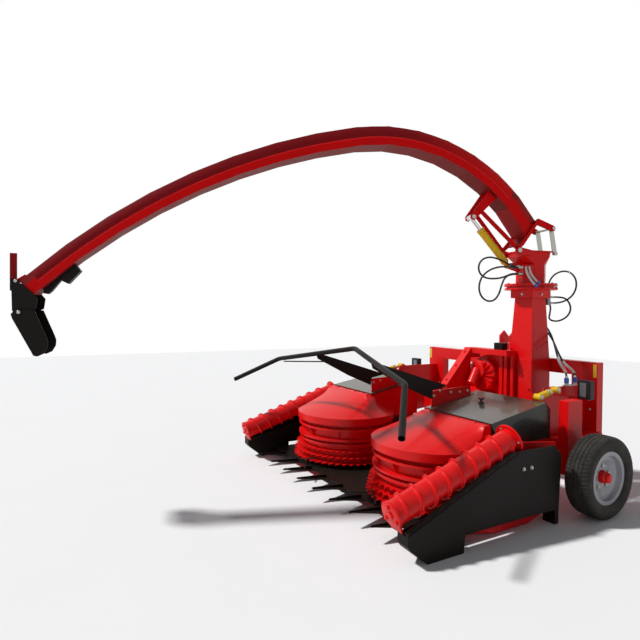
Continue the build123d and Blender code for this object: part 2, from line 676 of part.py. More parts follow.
def spout_at(ahead, left, height):
    """Point beside the spout: forward of the slewing axis, to the left of the spout, and height."""
    return (turret_x + ahead * spout_dir[0] + left * spout_side[0],
            turret_y + ahead * spout_dir[1] + left * spout_side[1], height)


def cut_corners(back, front, half, cut):
    """Eight-sided outline about the slewing axis, forward and sideways."""
    return [(back + cut, -half), (front - cut, -half), (front, -half + cut), (front, half - cut),
            (front - cut, half), (back + cut, half), (back, half - cut), (back, -half + cut)]


def spout_level(height):
    """Level plane at one height: x forward along the spout, y to its left."""
    return Plane(origin=(turret_x, turret_y, height), x_dir=spout_dir, z_dir=(0, 0, 1))


with BuildPart() as turret:
    turned((turret_x, turret_y, ring_z + run_gap), (0, 0, 1), [(112, 0), (ring_out, 0), (ring_out, 20), (112, 20)])
    slab(spout_level(funnel_top - 12), cut_corners(-132, 186, rim_half, 10), 12)
    for wall, mode in ((0, Mode.ADD), (duct_wall, Mode.SUBTRACT)):
        for lower, upper in zip(funnel_steps, funnel_steps[1:]):
            faces = []
            for height, back, front, half, cut in (lower, upper):
                grow = 1 if wall and height in (funnel_steps[0][0], funnel_top) else 0
                level = height + (grow if height == funnel_top else -3 * grow)
                with BuildSketch(spout_level(level)) as step:
                    with BuildLine():
                        Polyline(*cut_corners(back + wall, front - wall, half - wall, cut), close=True)
                    make_face()
                faces.append(step.sketch)
            loft(faces, ruled=True, mode=mode)
    for s in (-1, 1):
        slab(spout_plane(s * turret_ear[0]),
             [(70, 1990), (200, 1990), (hinge[0] + 26, hinge[1] - 14), (hinge[0] + 26, hinge[1] + 14),
              (hinge[0] + 10, hinge[1] + 26), (hinge[0] - 12, hinge[1] + 26), (70, funnel_top - 4)],
             s * (turret_ear[1] - turret_ear[0]))
        rod(spout_at(hinge[0], s * (boom_ear[0] - 8), hinge[1]), spout_at(hinge[0], s * turret_ear[1], hinge[1]),
            hinge_pin_r)
        slab(spout_plane(s * 20),
             [(116, 1850), (ram_base[0] - 16, ram_base[1] - 22), (ram_base[0] + 22, ram_base[1] - 12),
              (ram_base[0] + 22, ram_base[1] + 12), (ram_base[0] + 2, ram_base[1] + 24), (116, 1940)], s * 10)
    rod(spout_at(ram_base[0], -34, ram_base[1]), spout_at(ram_base[0], 34, ram_base[1]), ram_pin_r)
    slab(spout_level(1810), [(62, 108), (109, 61), (158, 61), (158, 122), (62, 122)], 98)
    for left, height in turret_ports:
        rod(spout_at(157, left, height), spout_at(turret_port_end, left, height), port_r)
keep(turret, "turret")


# Spout: base plate, ears, curved duct, ram bracket with its struts, and the rear lug
base_tilt = 126               # base plate leans back from straight ahead, degrees
boom_start = (84, 2250)
boom_head = 55.6              # degrees above level at the start
boom_arcs = ((1563, 67.4), (4926, 31.6))
boom_end_run = 50
boom_half_w = (100, 90)
boom_half_h = (86, 66)
boom_arc_steps = (7, 8)
top_share = 0.72
side_share = 0.2
lug_at = (378, -163)
ray_u = (cos(radians(base_tilt)), sin(radians(base_tilt)))
ray_n = (cos(radians(base_tilt - 90)), sin(radians(base_tilt - 90)))


def base_point(up, out):
    """Point near the spout's hinge: up along the base plate and out along the duct."""
    return (hinge[0] + up * ray_u[0] + out * ray_n[0], hinge[1] + up * ray_u[1] + out * ray_n[1])


def boom_stations():
    """Places along the spout's middle line: forward, height, heading in degrees, length run."""
    ahead, height, angle, run = boom_start[0], boom_start[1], boom_head, 0
    places = [(ahead, height, angle, run)]
    for (radius, sweep_angle), steps in zip(boom_arcs, boom_arc_steps):
        for number in range(steps):
            turn = sweep_angle / steps
            chord = 2 * radius * sin(radians(turn / 2))
            ahead += chord * cos(radians(angle - turn / 2))
            height += chord * sin(radians(angle - turn / 2))
            angle -= turn
            run += radius * radians(turn)
            places.append((ahead, height, angle, run))
    places.append((ahead + boom_end_run * cos(radians(angle)), height + boom_end_run * sin(radians(angle)),
                   angle, run + boom_end_run))
    return places


stations = boom_stations()
boom_len = stations[-1][3]


def boom_section(half_w, half_h):
    """Six-sided outline of the duct: flat underside, leaning upper sides."""
    return [(-half_w, -half_h), (half_w, -half_h), (half_w, side_share * half_h), (top_share * half_w, half_h),
            (-top_share * half_w, half_h), (-half_w, side_share * half_h)]


def boom_face(place, wall):
    """Cross section of the duct at one station."""
    ahead, height, angle, run = place
    share = run / boom_len
    half_w = boom_half_w[0] + (boom_half_w[1] - boom_half_w[0]) * share - wall
    half_h = boom_half_h[0] + (boom_half_h[1] - boom_half_h[0]) * share - wall
    tangent = tuple(cos(radians(angle)) * c for c in spout_dir[:2]) + (sin(radians(angle)),)
    right = tuple(-c for c in spout_side)
    with BuildSketch(Plane(origin=spout_at(ahead, 0, height), x_dir=right, z_dir=tangent)) as face:
        with BuildLine():
            Polyline(*boom_section(half_w, half_h), close=True)
        make_face()
    return face.sketch


def base_face(wall, out):
    """First section of the duct, lying on the base plate."""
    low, high = 157, 340
    half_h = (high - low) / 2 - wall
    centre = base_point((low + high) / 2, out)
    normal = tuple(ray_n[0] * c for c in spout_dir[:2]) + (ray_n[1],)
    right = tuple(-c for c in spout_side)
    with BuildSketch(Plane(origin=spout_at(centre[0], 0, centre[1]), x_dir=right, z_dir=normal)) as face:
        with BuildLine():
            Polyline(*boom_section(boom_half_w[0] - wall, half_h), close=True)
        make_face()
    return face.sketch


def boom_under(run, depth=0):
    """Point on the duct's underside at one length run, lifted into it by a depth."""
    half_h = boom_half_h[0] + (boom_half_h[1] - boom_half_h[0]) * run / boom_len - depth
    angle = boom_head - degrees(run / boom_arcs[0][0])
    middle = radians((boom_head + angle) / 2)
    chord = 2 * boom_arcs[0][0] * sin(radians((boom_head - angle) / 2))
    return (boom_start[0] + chord * cos(middle) + half_h * sin(radians(angle)),
            boom_start[1] + chord * sin(middle) - half_h * cos(radians(angle)))


def bar(start, end, width, thick):
    """Flat bar between two points, its wide side in the spout's upright plane."""
    run = Vector(*end) - Vector(*start)
    across = Vector(*spout_side).cross(run).normalized()
    with BuildSketch(Plane(origin=start, x_dir=tuple(across), z_dir=tuple(run))) as section:
        Rectangle(width, thick)
    extrude(section.sketch, amount=run.length)


with BuildPart() as boom:
    slab(spout_plane(0), [base_point(60, -8), base_point(60, 4), base_point(345, 4), base_point(345, -8)],
         boom_ear[0] + 1, both=True)
    faces = [base_face(0, 0)] + [boom_face(place, 0) for place in stations[1:]]
    loft(faces, ruled=True)
    hole = [base_face(duct_wall, -9)] + [boom_face(place, duct_wall) for place in stations[1:]]
    last = stations[-1]
    beyond = (last[0] + 5 * cos(radians(last[2])), last[1] + 5 * sin(radians(last[2])), last[2], last[3])
    loft(hole[:-1] + [boom_face(beyond, duct_wall)], ruled=True, mode=Mode.SUBTRACT)
    ear = [(-22, -12), (-17, 20), (6, 30), (150, 16), (345, 16), (354, 4), (403, -156), (397, -182), (370, -188),
           (352, -170), (300, -14), (70, -14), (24, -4), (6, -24)]
    for s in (-1, 1):
        slab(spout_plane(s * boom_ear[0]), [base_point(*point) for point in ear], s * (boom_ear[1] - boom_ear[0]))
        slab(spout_plane(s * 40), [boom_under(400, 4), boom_under(510, 4), (ram_eye[0] + 26, ram_eye[1] + 12),
                                   (ram_eye[0] + 22, ram_eye[1] - 20), (ram_eye[0] - 8, ram_eye[1] - 28),
                                   (ram_eye[0] - 28, ram_eye[1] - 8)], s * 12)
        bar(spout_at(560, s * 49, 2374), spout_at(hinge[0] + 14, s * 108, hinge[1] + 26), 36, 10)
        slab(spout_plane(s * 50), [(4105, 1704), (4122, 1712), (4180, 1674), (4182, 1658), (4168, 1650), (4138, 1668)],
             s * 8)
    rod(spout_at(ram_eye[0], -52, ram_eye[1]), spout_at(ram_eye[0], 52, ram_eye[1]), ram_pin_r)
    for s in (-1, 1):
        with Locations(Location(Plane(origin=spout_at(hinge[0], s * 112, hinge[1]), z_dir=spout_side))):
            Cylinder(hinge_pin_r + 0.05, 40, mode=Mode.SUBTRACT)
    lug = base_point(*lug_at)
    with Locations(Location(Plane(origin=spout_at(lug[0], 0, lug[1]), z_dir=spout_side))):
        Cylinder(10.05, 300, mode=Mode.SUBTRACT)
    flap_hinge = (4168, 1664)
    with Locations(Location(Plane(origin=spout_at(flap_hinge[0], 0, flap_hinge[1]), z_dir=spout_side))):
        Cylinder(7.05, 160, mode=Mode.SUBTRACT)
keep(boom, "spout_boom")


# Lift ram of the spout: barrel on the turret, rod on the spout's bracket
ram_run = (ram_eye[0] - ram_base[0], ram_eye[1] - ram_base[1])
ram_len = hypot(*ram_run)
ram_dir = (spout_dir[0] * ram_run[0] / ram_len, spout_dir[1] * ram_run[0] / ram_len, ram_run[1] / ram_len)
barrel_len = 427
barrel_r = 32
rod_r = 15
with BuildPart() as barrel:
    base_at = spout_at(ram_base[0], 0, ram_base[1])
    turned(base_at, ram_dir, [(0, 22), (20, 26), (barrel_r, 44), (barrel_r, barrel_len), (rod_r + 0.05, barrel_len),
                              (rod_r + 0.05, barrel_len - 27), (barrel_r - 7, barrel_len - 27), (barrel_r - 7, 62),
                              (0, 62)])
    rod(spout_at(ram_base[0], -18, ram_base[1]), spout_at(ram_base[0], 18, ram_base[1]), 24)
    rod(spout_at(ram_base[0], -30, ram_base[1]), spout_at(ram_base[0], 30, ram_base[1]), ram_pin_r + 0.05,
        mode=Mode.SUBTRACT)
keep(barrel, "ram_barrel")

with BuildPart() as ram_rod:
    turned(base_at, ram_dir, [(0, 72), (barrel_r - 7.05, 72), (barrel_r - 7.05, 96), (rod_r, 96),
                              (rod_r, ram_len - 18), (0, ram_len - 18)])
    rod(spout_at(ram_eye[0], -32, ram_eye[1]), spout_at(ram_eye[0], 32, ram_eye[1]), 23)
    rod(spout_at(ram_eye[0], -40, ram_eye[1]), spout_at(ram_eye[0], 40, ram_eye[1]), ram_pin_r + eye_slack,
        mode=Mode.SUBTRACT)
keep(ram_rod, "ram_rod")

# Two stays that hang from the spout's rear lug on one cross pin
stay_end = (-180, 2018)
with BuildPart() as stays:
    rod(spout_at(lug[0], -boom_ear[1] - 6, lug[1]), spout_at(lug[0], boom_ear[1] + 6, lug[1]), 10)
    for s in (-1, 1):
        bar(spout_at(lug[0] + 2, s * 90, lug[1] + 12), spout_at(stay_end[0] - 1, s * 90, stay_end[1] - 6), 45, 8)
        rod(spout_at(stay_end[0], s * 74, stay_end[1]), spout_at(stay_end[0], s * 106, stay_end[1]), 14)
keep(stays, "spout_stays")


# Spout end flap in two hinged segments, the inner one with its upright lever
flap_joint = (4145, 1449)
with BuildPart() as flap_in:
    for s in (-1, 1):
        slab(spout_plane(s * 97), [(4154, 1674), (4184, 1672), (4194, 1640), (4190, 1462), (4176, 1436), (4150, 1424),
                                   (4043, 1473), (4032, 1546), (4060, 1580), (4140, 1650)], s * 5)
    slab(spout_plane(0), [(4186, 1640), (4191, 1640), (4190, 1462), (4185, 1462)], 98, both=True)
    rod(spout_at(flap_hinge[0], -102, flap_hinge[1]), spout_at(flap_hinge[0], 102, flap_hinge[1]), 7)
    for s in (-1, 1):
        rod(spout_at(flap_joint[0], s * 101, flap_joint[1]), spout_at(flap_joint[0], s * 118, flap_joint[1]), 8)
    slab(spout_plane(-8), [(4190, 1596), (4232, 1600), (4232, 1863), (4190, 1863)], 16)
keep(flap_in, "flap_inner")

with BuildPart() as flap_out:
    tail = [(4168, 1466), (4145, 1474), (4124, 1466), (4048, 1462), (3975, 1282), (3963, 1245), (3966, 1205),
            (3990, 1162), (4030, 1143), (4055, 1149), (4186, 1405), (4195, 1436)]
    for s in (-1, 1):
        slab(spout_plane(s * 108), tail, s * 5)
    slab(spout_plane(0), [(4195, 1436), (4190, 1438), (4181, 1407), (4050, 1151), (4055, 1149), (4186, 1405)],
         109, both=True)
    with Locations(Location(Plane(origin=spout_at(flap_joint[0], 0, flap_joint[1]), z_dir=spout_side))):
        Cylinder(8.05, 260, mode=Mode.SUBTRACT)
keep(flap_out, "flap_outer")

# Flap drive under the spout: two boxes on one rail
drive_half = 34
with BuildPart() as flap_drive:
    slab(spout_plane(0), [(3805.9, 1797.3), (3771, 1748), (3853, 1655), (3903, 1679), (3890.1, 1723.6)],
         drive_half, both=True)
    slab(spout_plane(0), [(3890.1, 1723.6), (3903, 1679), (3964, 1599), (3987, 1579), (4015, 1584), (4016.3, 1613.2)],
         drive_half - 12, both=True)
keep(flap_drive, "flap_drive")


# Crop bow: bent tube across the header front on two plate arms, with two thin braces
arm_x = 421
brace_front = 900
bow_z = 42
bow_r = 21
bow_end = (1332, drum_y - 876, 780)
bow_bend = (965, drum_y - 556, 1008)
bow_top = (0, drum_y - 309, 1169)
with BuildPart() as bow:
    path_points = [(-bow_end[0], *bow_end[1:]), (-bow_bend[0], *bow_bend[1:]), bow_top,
                   bow_bend, bow_end]
    with BuildLine(mode=Mode.PRIVATE) as path:
        FilletPolyline(*path_points, radius=120)
    with BuildSketch(Plane(origin=path.line @ 0, z_dir=path.line % 0)) as tube:
        Circle(bow_r)
        Circle(bow_r - 4, mode=Mode.SUBTRACT)
    sweep(tube.sketch, path=path.line)
    for side, s in sides:
        rod((s * brace_front, 22, 987), (s * (arm_x + sheet + 3.4), 290, 1016), 6)
keep(bow, "crop_bow")

# Upright plate arms that carry the bow, on red brackets that stand on the drive covers
for side, s in sides:
    with BuildPart() as arm:
        slab(along(s * arm_x), [(118, 1082), (140, 1100), (170, 1090), (880, 872), (724, 845), (714, 775),
                                (464, 880), (130, 1050)], s * sheet)
        rod((s * bow_bend[0], *bow_bend[1:]), bow_top, bow_r + run_gap, mode=Mode.SUBTRACT)
    keep(arm, f"bow_arm_{side}")

lid_rise = drive_front_top + run_gap + 0.3
with BuildPart() as arm_brackets:
    for side, s in sides:
        slab(along(s * (arm_x - run_gap)),
             [(720, lid_rise + slope * (720 - drive_front)), (720, 838), (1127, 853), (1160, 820),
              (1160, lid_rise + slope * (1160 - drive_front))], -s * sheet)
keep(arm_brackets, "arm_brackets")

# Short yellow rams between the gear cases and the tie plates
with BuildPart() as tilt_rams:
    for side, s in sides:
        rod((s * tilt_x, *tilt_front), (s * tilt_x, 1440, 855.5), 28)
        rod((s * tilt_x, 1439, 855.3), (s * tilt_x, *tilt_back), 16)
        for end in (tilt_front, tilt_back):
            rod((s * (tilt_x - tilt_eye), *end), (s * (tilt_x + tilt_eye), *end), 26)
keep(tilt_rams, "tilt_rams")

# Parked couplings of the two long hoses, on the right tie plate
coupling_y = (1747, 1858)
coupling_top = 928
with BuildPart() as couplings:
    block(tie_x - 8, bracket_out + 8, coupling_y[0] - 30, coupling_y[1] + 30, tie_top + run_gap, tie_top + 8)
    for y in coupling_y:
        rod((tie_x + 8, y, tie_top + 7), (tie_x + 8, y, coupling_top), 15)
keep(couplings, "coupling_rest")

# Valve block on the guard's top plate
valve_port = (240, 1665, guard_top + 30)
with BuildPart() as valves:
    block(250, 345, 1630, 1700, guard_top + run_gap, guard_top + 62)
    rod((251, *valve_port[1:]), valve_port, port_r)
keep(valves, "valve_block")

# Hoses: their routes as points, each a tube of straight runs and arcs
hose_r = 8
motor_port = [(x, port_end, z) for x, z in motor_ports]
motor_drain = [(x, y, 1505) for x, y in motor_drains]
turret_port = [spout_at(turret_port_end, left, height) for left, height in turret_ports]
coupling = [(tie_x + 8, y, coupling_top) for y in coupling_y]
loop_high = [(250, -76, 1892), (352, -82, 1940), (470, -86, 1970), (560, -88, 1945), (598, -90, 1880),
             (578, -90, 1812), (512, -88, 1777), (400, -84, 1779), (318, -79, 1800), (250, -76, 1830)]
loop_low = [(262, -108, 1880), (375, -111, 1886), (485, -114, 1860), (570, -114, 1800), (604, -114, 1716),
            (590, -114, 1632), (528, -114, 1578), (450, -114, 1583), (400, -113, 1645), (378, -112, 1722),
            (345, -110, 1793), (268, -108, 1824)]
hoses = (
    ("turret_hose_high", [turret_port[0], *(spout_at(*place) for place in loop_high), turret_port[1]]),
    ("turret_hose_low", [turret_port[2], *(spout_at(*place) for place in loop_low), turret_port[3]]),
    ("motor_hose_high", [motor_port[0], (500, 2140, 1576), (530, 2190, 1582), (582, 2218, 1606), (640, 2220, 1654),
                         (678, 2208, 1724), (668, 2208, 1804), (606, 2216, 1864), (520, 2222, 1880),
                         (436, 2220, 1850), (390, 2208, 1778), (398, 2200, 1712), (418, 2176, 1676),
                         (440, 2136, 1664), motor_port[2]]),
    ("motor_hose_low", [motor_port[1], (500, 2136, 1632), (532, 2180, 1632), (584, 2190, 1620), (628, 2188, 1572),
                        (640, 2188, 1508), (606, 2176, 1442), (536, 2140, 1402), (468, 2110, 1420),
                        (446, 2158, 1484), (440, 2176, 1528), (440, 2162, 1572), (440, 2126, 1600), motor_port[3]]),
    ("drop_hose_front", [motor_drain[0], (480, 1990, 1440), (500, 2004, 1378), (556, 2004, 1316), (624, 1958, 1250),
                         (692, 1896, 1182), (758, 1836, 1108), (826, 1788, 1040), (880, 1758, 1010),
                         (908, 1747, 970), coupling[0]]),
    ("drop_hose_rear", [motor_drain[1], (440, 1990, 1440), (456, 2014, 1378), (510, 2040, 1306), (594, 2008, 1230),
                        (664, 1950, 1176), (732, 1902, 1112), (800, 1876, 1046), (850, 1864, 1024),
                        (890, 1859, 995), (908, 1858, 962), coupling[1]]),
)


def corner_radii(points):
    """Radius of the arc at each corner of a route: as large as its two runs allow."""
    radii = []
    for before, corner, after in zip(points, points[1:], points[2:]):
        leg_in, leg_out = Vector(*corner) - Vector(*before), Vector(*after) - Vector(*corner)
        radii.append(0.45 * min(leg_in.length, leg_out.length) / tan(radians(leg_in.get_angle(leg_out)) / 2))
    return radii


for name, points in hoses:
    radii = corner_radii(points)
    with BuildPart() as hose:
        with BuildLine(mode=Mode.PRIVATE) as route:
            FilletPolyline(*points, radius=radii)
        with BuildSketch(Plane(origin=route.line @ 0, z_dir=route.line % 0)) as tube:
            Circle(hose_r)
        sweep(tube.sketch, path=route.line)
    length = sum(edge.length for edge in route.edges())
    print(name, "length", round(length), "volume share", round(hose.part.volume / (pi * hose_r ** 2 * length), 3),
          "radii", [round(r) for r in radii])
    keep(hose, name)
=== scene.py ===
import math

import bpy
import numpy as np
from bpy.props import FloatProperty, FloatVectorProperty, IntProperty, PointerProperty
from mathutils import Matrix, Vector


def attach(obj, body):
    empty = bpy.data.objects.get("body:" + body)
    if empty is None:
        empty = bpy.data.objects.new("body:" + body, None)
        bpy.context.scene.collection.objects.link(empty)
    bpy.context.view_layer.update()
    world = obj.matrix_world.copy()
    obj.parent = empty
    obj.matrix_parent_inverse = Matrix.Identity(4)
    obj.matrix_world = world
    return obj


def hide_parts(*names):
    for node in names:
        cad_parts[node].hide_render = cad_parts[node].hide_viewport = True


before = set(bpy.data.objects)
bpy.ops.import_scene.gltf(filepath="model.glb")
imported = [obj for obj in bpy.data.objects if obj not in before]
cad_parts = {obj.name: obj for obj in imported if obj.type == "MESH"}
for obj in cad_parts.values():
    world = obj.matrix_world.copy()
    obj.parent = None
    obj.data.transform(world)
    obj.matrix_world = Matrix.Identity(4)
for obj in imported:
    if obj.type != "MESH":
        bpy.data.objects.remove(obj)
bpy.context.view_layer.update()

bl_info = {
    "name": "Forage harvester dressing",
    "version": (1, 0, 0),
    "blender": (4, 5, 0),
    "location": "View3D > Sidebar > Harvester",
    "description": "Builds the finish and fine pieces of a mounted forage harvester around its frame",
    "category": "Object",
}

# Places in metres: X across the machine, +Y to the tractor, Z up, floor at Z = 0
TYRE_X = 1.345
AXLE_Y = 1.505
TYRE_R = 0.298
TURRET = np.array((0.460, 1.855, 0.0))
HEADING = math.radians(15)
SPOUT_DIR = np.array((-math.sin(HEADING), -math.cos(HEADING), 0.0))
SPOUT_SIDE = np.array((-math.cos(HEADING), math.sin(HEADING), 0.0))
AUGER_FRONT = np.array((1.172, -0.245, 0.292))
AUGER_BACK = np.array((1.172, 0.745, 0.615))
AUGER_SLOPE = (0, 990, 323)
AUGER_TUBE_R = 0.078
AUGER_FLIGHT_R = 0.096
AUGER_SHAFT_R = 0.025
AUGER_FLANGE_R = 0.108
# The foot of the flap's lever, and the stretch over which the painted shade on the spout's upper sides fades
# from its dark red to the common red
LEVER_FOOT = 1.683
SHADE_FADE = (0.6, 1.35)
UP = np.array((0.0, 0.0, 1.0))
# Left and right of the machine, with the sign of X on that side
SIDES = (("left", -1), ("right", 1))


def linear(code):
    """Linear red, green and blue of an sRGB hex colour."""
    parts = np.array([int(code[k:k + 2], 16) / 255 for k in (1, 3, 5)])
    return tuple(np.where(parts <= 0.04045, parts / 12.92, ((parts + 0.055) / 1.055) ** 2.4))


def opaque(code):
    """A hex colour as a colour socket takes it."""
    return (*linear(code), 1.0)


class HarvesterSizes(bpy.types.PropertyGroup):
    """Sizes that a user would change"""
    tread_depth: FloatProperty(name="Tread depth", description="Depth of the tyre's round grooves",
                               default=0.007, unit="LENGTH")
    sipe_depth: FloatProperty(name="Shoulder cut depth", description="Depth of the shoulders' cuts",
                              default=0.004, unit="LENGTH")
    sipe_count: IntProperty(name="Shoulder cuts", description="Cuts round one tyre shoulder", default=64)
    flight_pitch: FloatProperty(name="Flight pitch", description="Rise of the auger flight in one turn",
                                default=0.116, unit="LENGTH")
    flight_wall: FloatProperty(name="Flight thickness", description="Thickness of the auger flight",
                               default=0.009, unit="LENGTH")
    bolt_size: FloatProperty(name="Bolt size", description="Width across the corners of a common bolt head",
                             default=0.019, unit="LENGTH")
    hose_size: FloatProperty(name="Hose diameter", description="Outer diameter of the hydraulic hoses",
                             default=0.016, unit="LENGTH")


class HarvesterColours(bpy.types.PropertyGroup):
    """Colours that a user would change"""
    machine_red: FloatVectorProperty(name="Machine red", description="Enamel of the frame, drums and spout",
                                     subtype="COLOR", default=linear("#DC090C"))
    satin_black: FloatVectorProperty(name="Satin black", description="Enamel of the panels, table and bow",
                                     subtype="COLOR", default=linear("#120D0A"))
    ram_yellow: FloatVectorProperty(name="Ram yellow", description="Enamel of the hydraulic rams",
                                    subtype="COLOR", default=linear("#E3B912"))
    rim_grey: FloatVectorProperty(name="Rim grey", description="Silver grey lacquer of the wheel rims",
                                  subtype="COLOR", default=linear("#9A9AA0"))
    floor_grey: FloatVectorProperty(name="Floor", description="Pale studio floor",
                                    subtype="COLOR", default=linear("#F4F4F4"))


def wire(made, settings):
    """Gives a node its properties and socket values; the output of another node becomes a link."""
    for key, value in settings.items():
        if isinstance(value, bpy.types.NodeSocket):
            made.id_data.links.new(value, made.inputs[key])
        elif isinstance(key, str) and hasattr(made, key):
            setattr(made, key, value)
        else:
            made.inputs[key].default_value = value


def node(tree, kind, settings, out=0):
    """Adds one shader node with its settings and links, and returns one of its outputs."""
    made = tree.nodes.new("ShaderNode" + kind)
    wire(made, settings)
    return made.outputs[out] if made.outputs else None


def new_finish(name):
    """Starts a material: its shader tree, its main shader and the place of each point in metres."""
    made = bpy.data.materials.new(name)
    made.use_nodes = True
    tree = made.node_tree
    return tree, tree.nodes["Principled BSDF"], node(tree, "TexCoord", {}, "Object")


def paint(name, colour, rough=0.45, coat=0.0, dust=0.03, peel=0.35, metal=0.0, edge=0.0022, high=1.0,
          under=0.0, shine=0.2):
    """Sprayed enamel on steel: even colour, a wavy skin, soft edges, a little dust on level faces and, where
    asked, painted light on faces that lean up (brighter as a painted reflection, darker as painted shade) and
    painted dark brown shade on those that look down."""
    tree, skin, place = new_finish(name)
    # Orange peel is 1 to 2 mm across on the real paint and is drawn 6 mm across so that it shows
    wave = node(tree, "TexNoise", {"Scale": 160.0, "Detail": 2.0, "Vector": place})
    drift = node(tree, "TexNoise", {"Scale": 3.0, "Detail": 4.0, "Roughness": 0.6, "Vector": place})
    specks = node(tree, "TexNoise", {"Scale": 40.0, "Detail": 6.0, "Roughness": 0.7, "Vector": place})
    level = node(tree, "SeparateXYZ", {0: node(tree, "NewGeometry", {}, "Normal")}, "Z")
    tone = node(tree, "MapRange", {"Value": drift, "From Min": 0.3, "From Max": 0.7,
                                   "To Min": 0.93, "To Max": 1.05})
    # Painted light: the colour of faces that lean up is scaled by high, brighter as a painted reflection,
    # darker as painted shade
    deep = node(tree, "MapRange", {"Value": level, "From Min": 0.1, "From Max": 0.3,
                                   "To Min": 1.0, "To Max": high})
    tinted = node(tree, "VectorMath", {"operation": "SCALE", 0: colour, "Scale": tone})
    toned = node(tree, "VectorMath", {"operation": "SCALE", 0: tinted, "Scale": deep})
    cover = node(tree, "Math", {"operation": "MULTIPLY", 0: level, 1: specks})
    lying = node(tree, "MapRange", {"Value": cover, "From Min": 0.35, "From Max": 0.9, "To Max": dust})
    mixed = node(tree, "Mix", {"data_type": "RGBA", 0: lying, 6: toned, 7: opaque("#9A8F80")}, 2)
    # Painted shade: faces that look down turn towards a dark brown, by the share under
    if under:
        below = node(tree, "MapRange", {"Value": level, "From Min": -0.35, "From Max": -0.75,
                                        "To Max": under})
        mixed = node(tree, "Mix", {"data_type": "RGBA", 0: below, 6: mixed, 7: opaque("#3B1814")}, 2)
    soft = node(tree, "Bevel", {"samples": 4, "Radius": edge})
    bump = node(tree, "Bump", {"Strength": peel * 0.12, "Distance": 0.002, "Height": wave, "Normal": soft})
    matt = node(tree, "MapRange", {"Value": drift, "From Min": 0.3, "From Max": 0.7,
                                   "To Min": rough - 0.04, "To Max": rough + 0.06})
    wire(skin, {"Base Color": mixed, "Roughness": matt, "Normal": bump, "Coat Weight": coat,
                "Coat Roughness": 0.06, "Specular IOR Level": shine, "Metallic": metal})


def second_colour(name, colour, axis, start, full):
    """Gives a finish a second colour that comes in between two places along an axis, in metres."""
    tree = bpy.data.materials[name].node_tree
    skin = tree.nodes["Principled BSDF"]
    below = skin.inputs["Base Color"].links[0].from_socket
    place = node(tree, "SeparateXYZ", {0: node(tree, "TexCoord", {}, "Object")}, axis)
    share = node(tree, "MapRange", {"Value": place, "From Min": start, "From Max": full})
    mixed = node(tree, "Mix", {"data_type": "RGBA", 0: share, 6: below, 7: (*colour, 1.0)}, 2)
    wire(skin, {"Base Color": mixed})


def bare_metal(name, colour, rough, grain=90.0, stained=0.25):
    """Plated or machined steel: full metal with fine grain and a faint brown stain in places."""
    tree, skin, place = new_finish(name)
    cloud = node(tree, "TexNoise", {"Scale": grain, "Detail": 5.0, "Roughness": 0.65, "Vector": place})
    amount = node(tree, "MapRange", {"Value": cloud, "From Min": 0.5, "From Max": 0.8, "To Max": stained})
    mixed = node(tree, "Mix", {"data_type": "RGBA", 0: amount, 6: opaque(colour), 7: opaque("#6B6152")}, 2)
    matt = node(tree, "MapRange", {"Value": cloud, "From Min": 0.3, "From Max": 0.7,
                                   "To Min": rough - 0.05, "To Max": rough + 0.1})
    wire(skin, {"Base Color": mixed, "Roughness": matt, "Metallic": 1.0})


def soft_matter(name, colour, patches, rough, scale, depth, share=0.3, clear=0.0):
    """Moulded rubber or plastic: dull skin with a fine grain and another tone in patches."""
    tree, skin, place = new_finish(name)
    grain = node(tree, "TexNoise", {"Scale": scale, "Detail": 3.0, "Vector": place})
    bloom = node(tree, "TexNoise", {"Scale": 9.0, "Detail": 6.0, "Roughness": 0.7, "Vector": place})
    amount = node(tree, "MapRange", {"Value": bloom, "From Min": 0.42, "From Max": 0.75, "To Max": share})
    mixed = node(tree, "Mix", {"data_type": "RGBA", 0: amount, 6: opaque(colour), 7: opaque(patches)}, 2)
    bump = node(tree, "Bump", {"Strength": 0.3, "Distance": depth, "Height": grain})
    wire(skin, {"Base Color": mixed, "Roughness": rough, "Normal": bump, "Coat Weight": clear,
                "Specular IOR Level": 0.3})


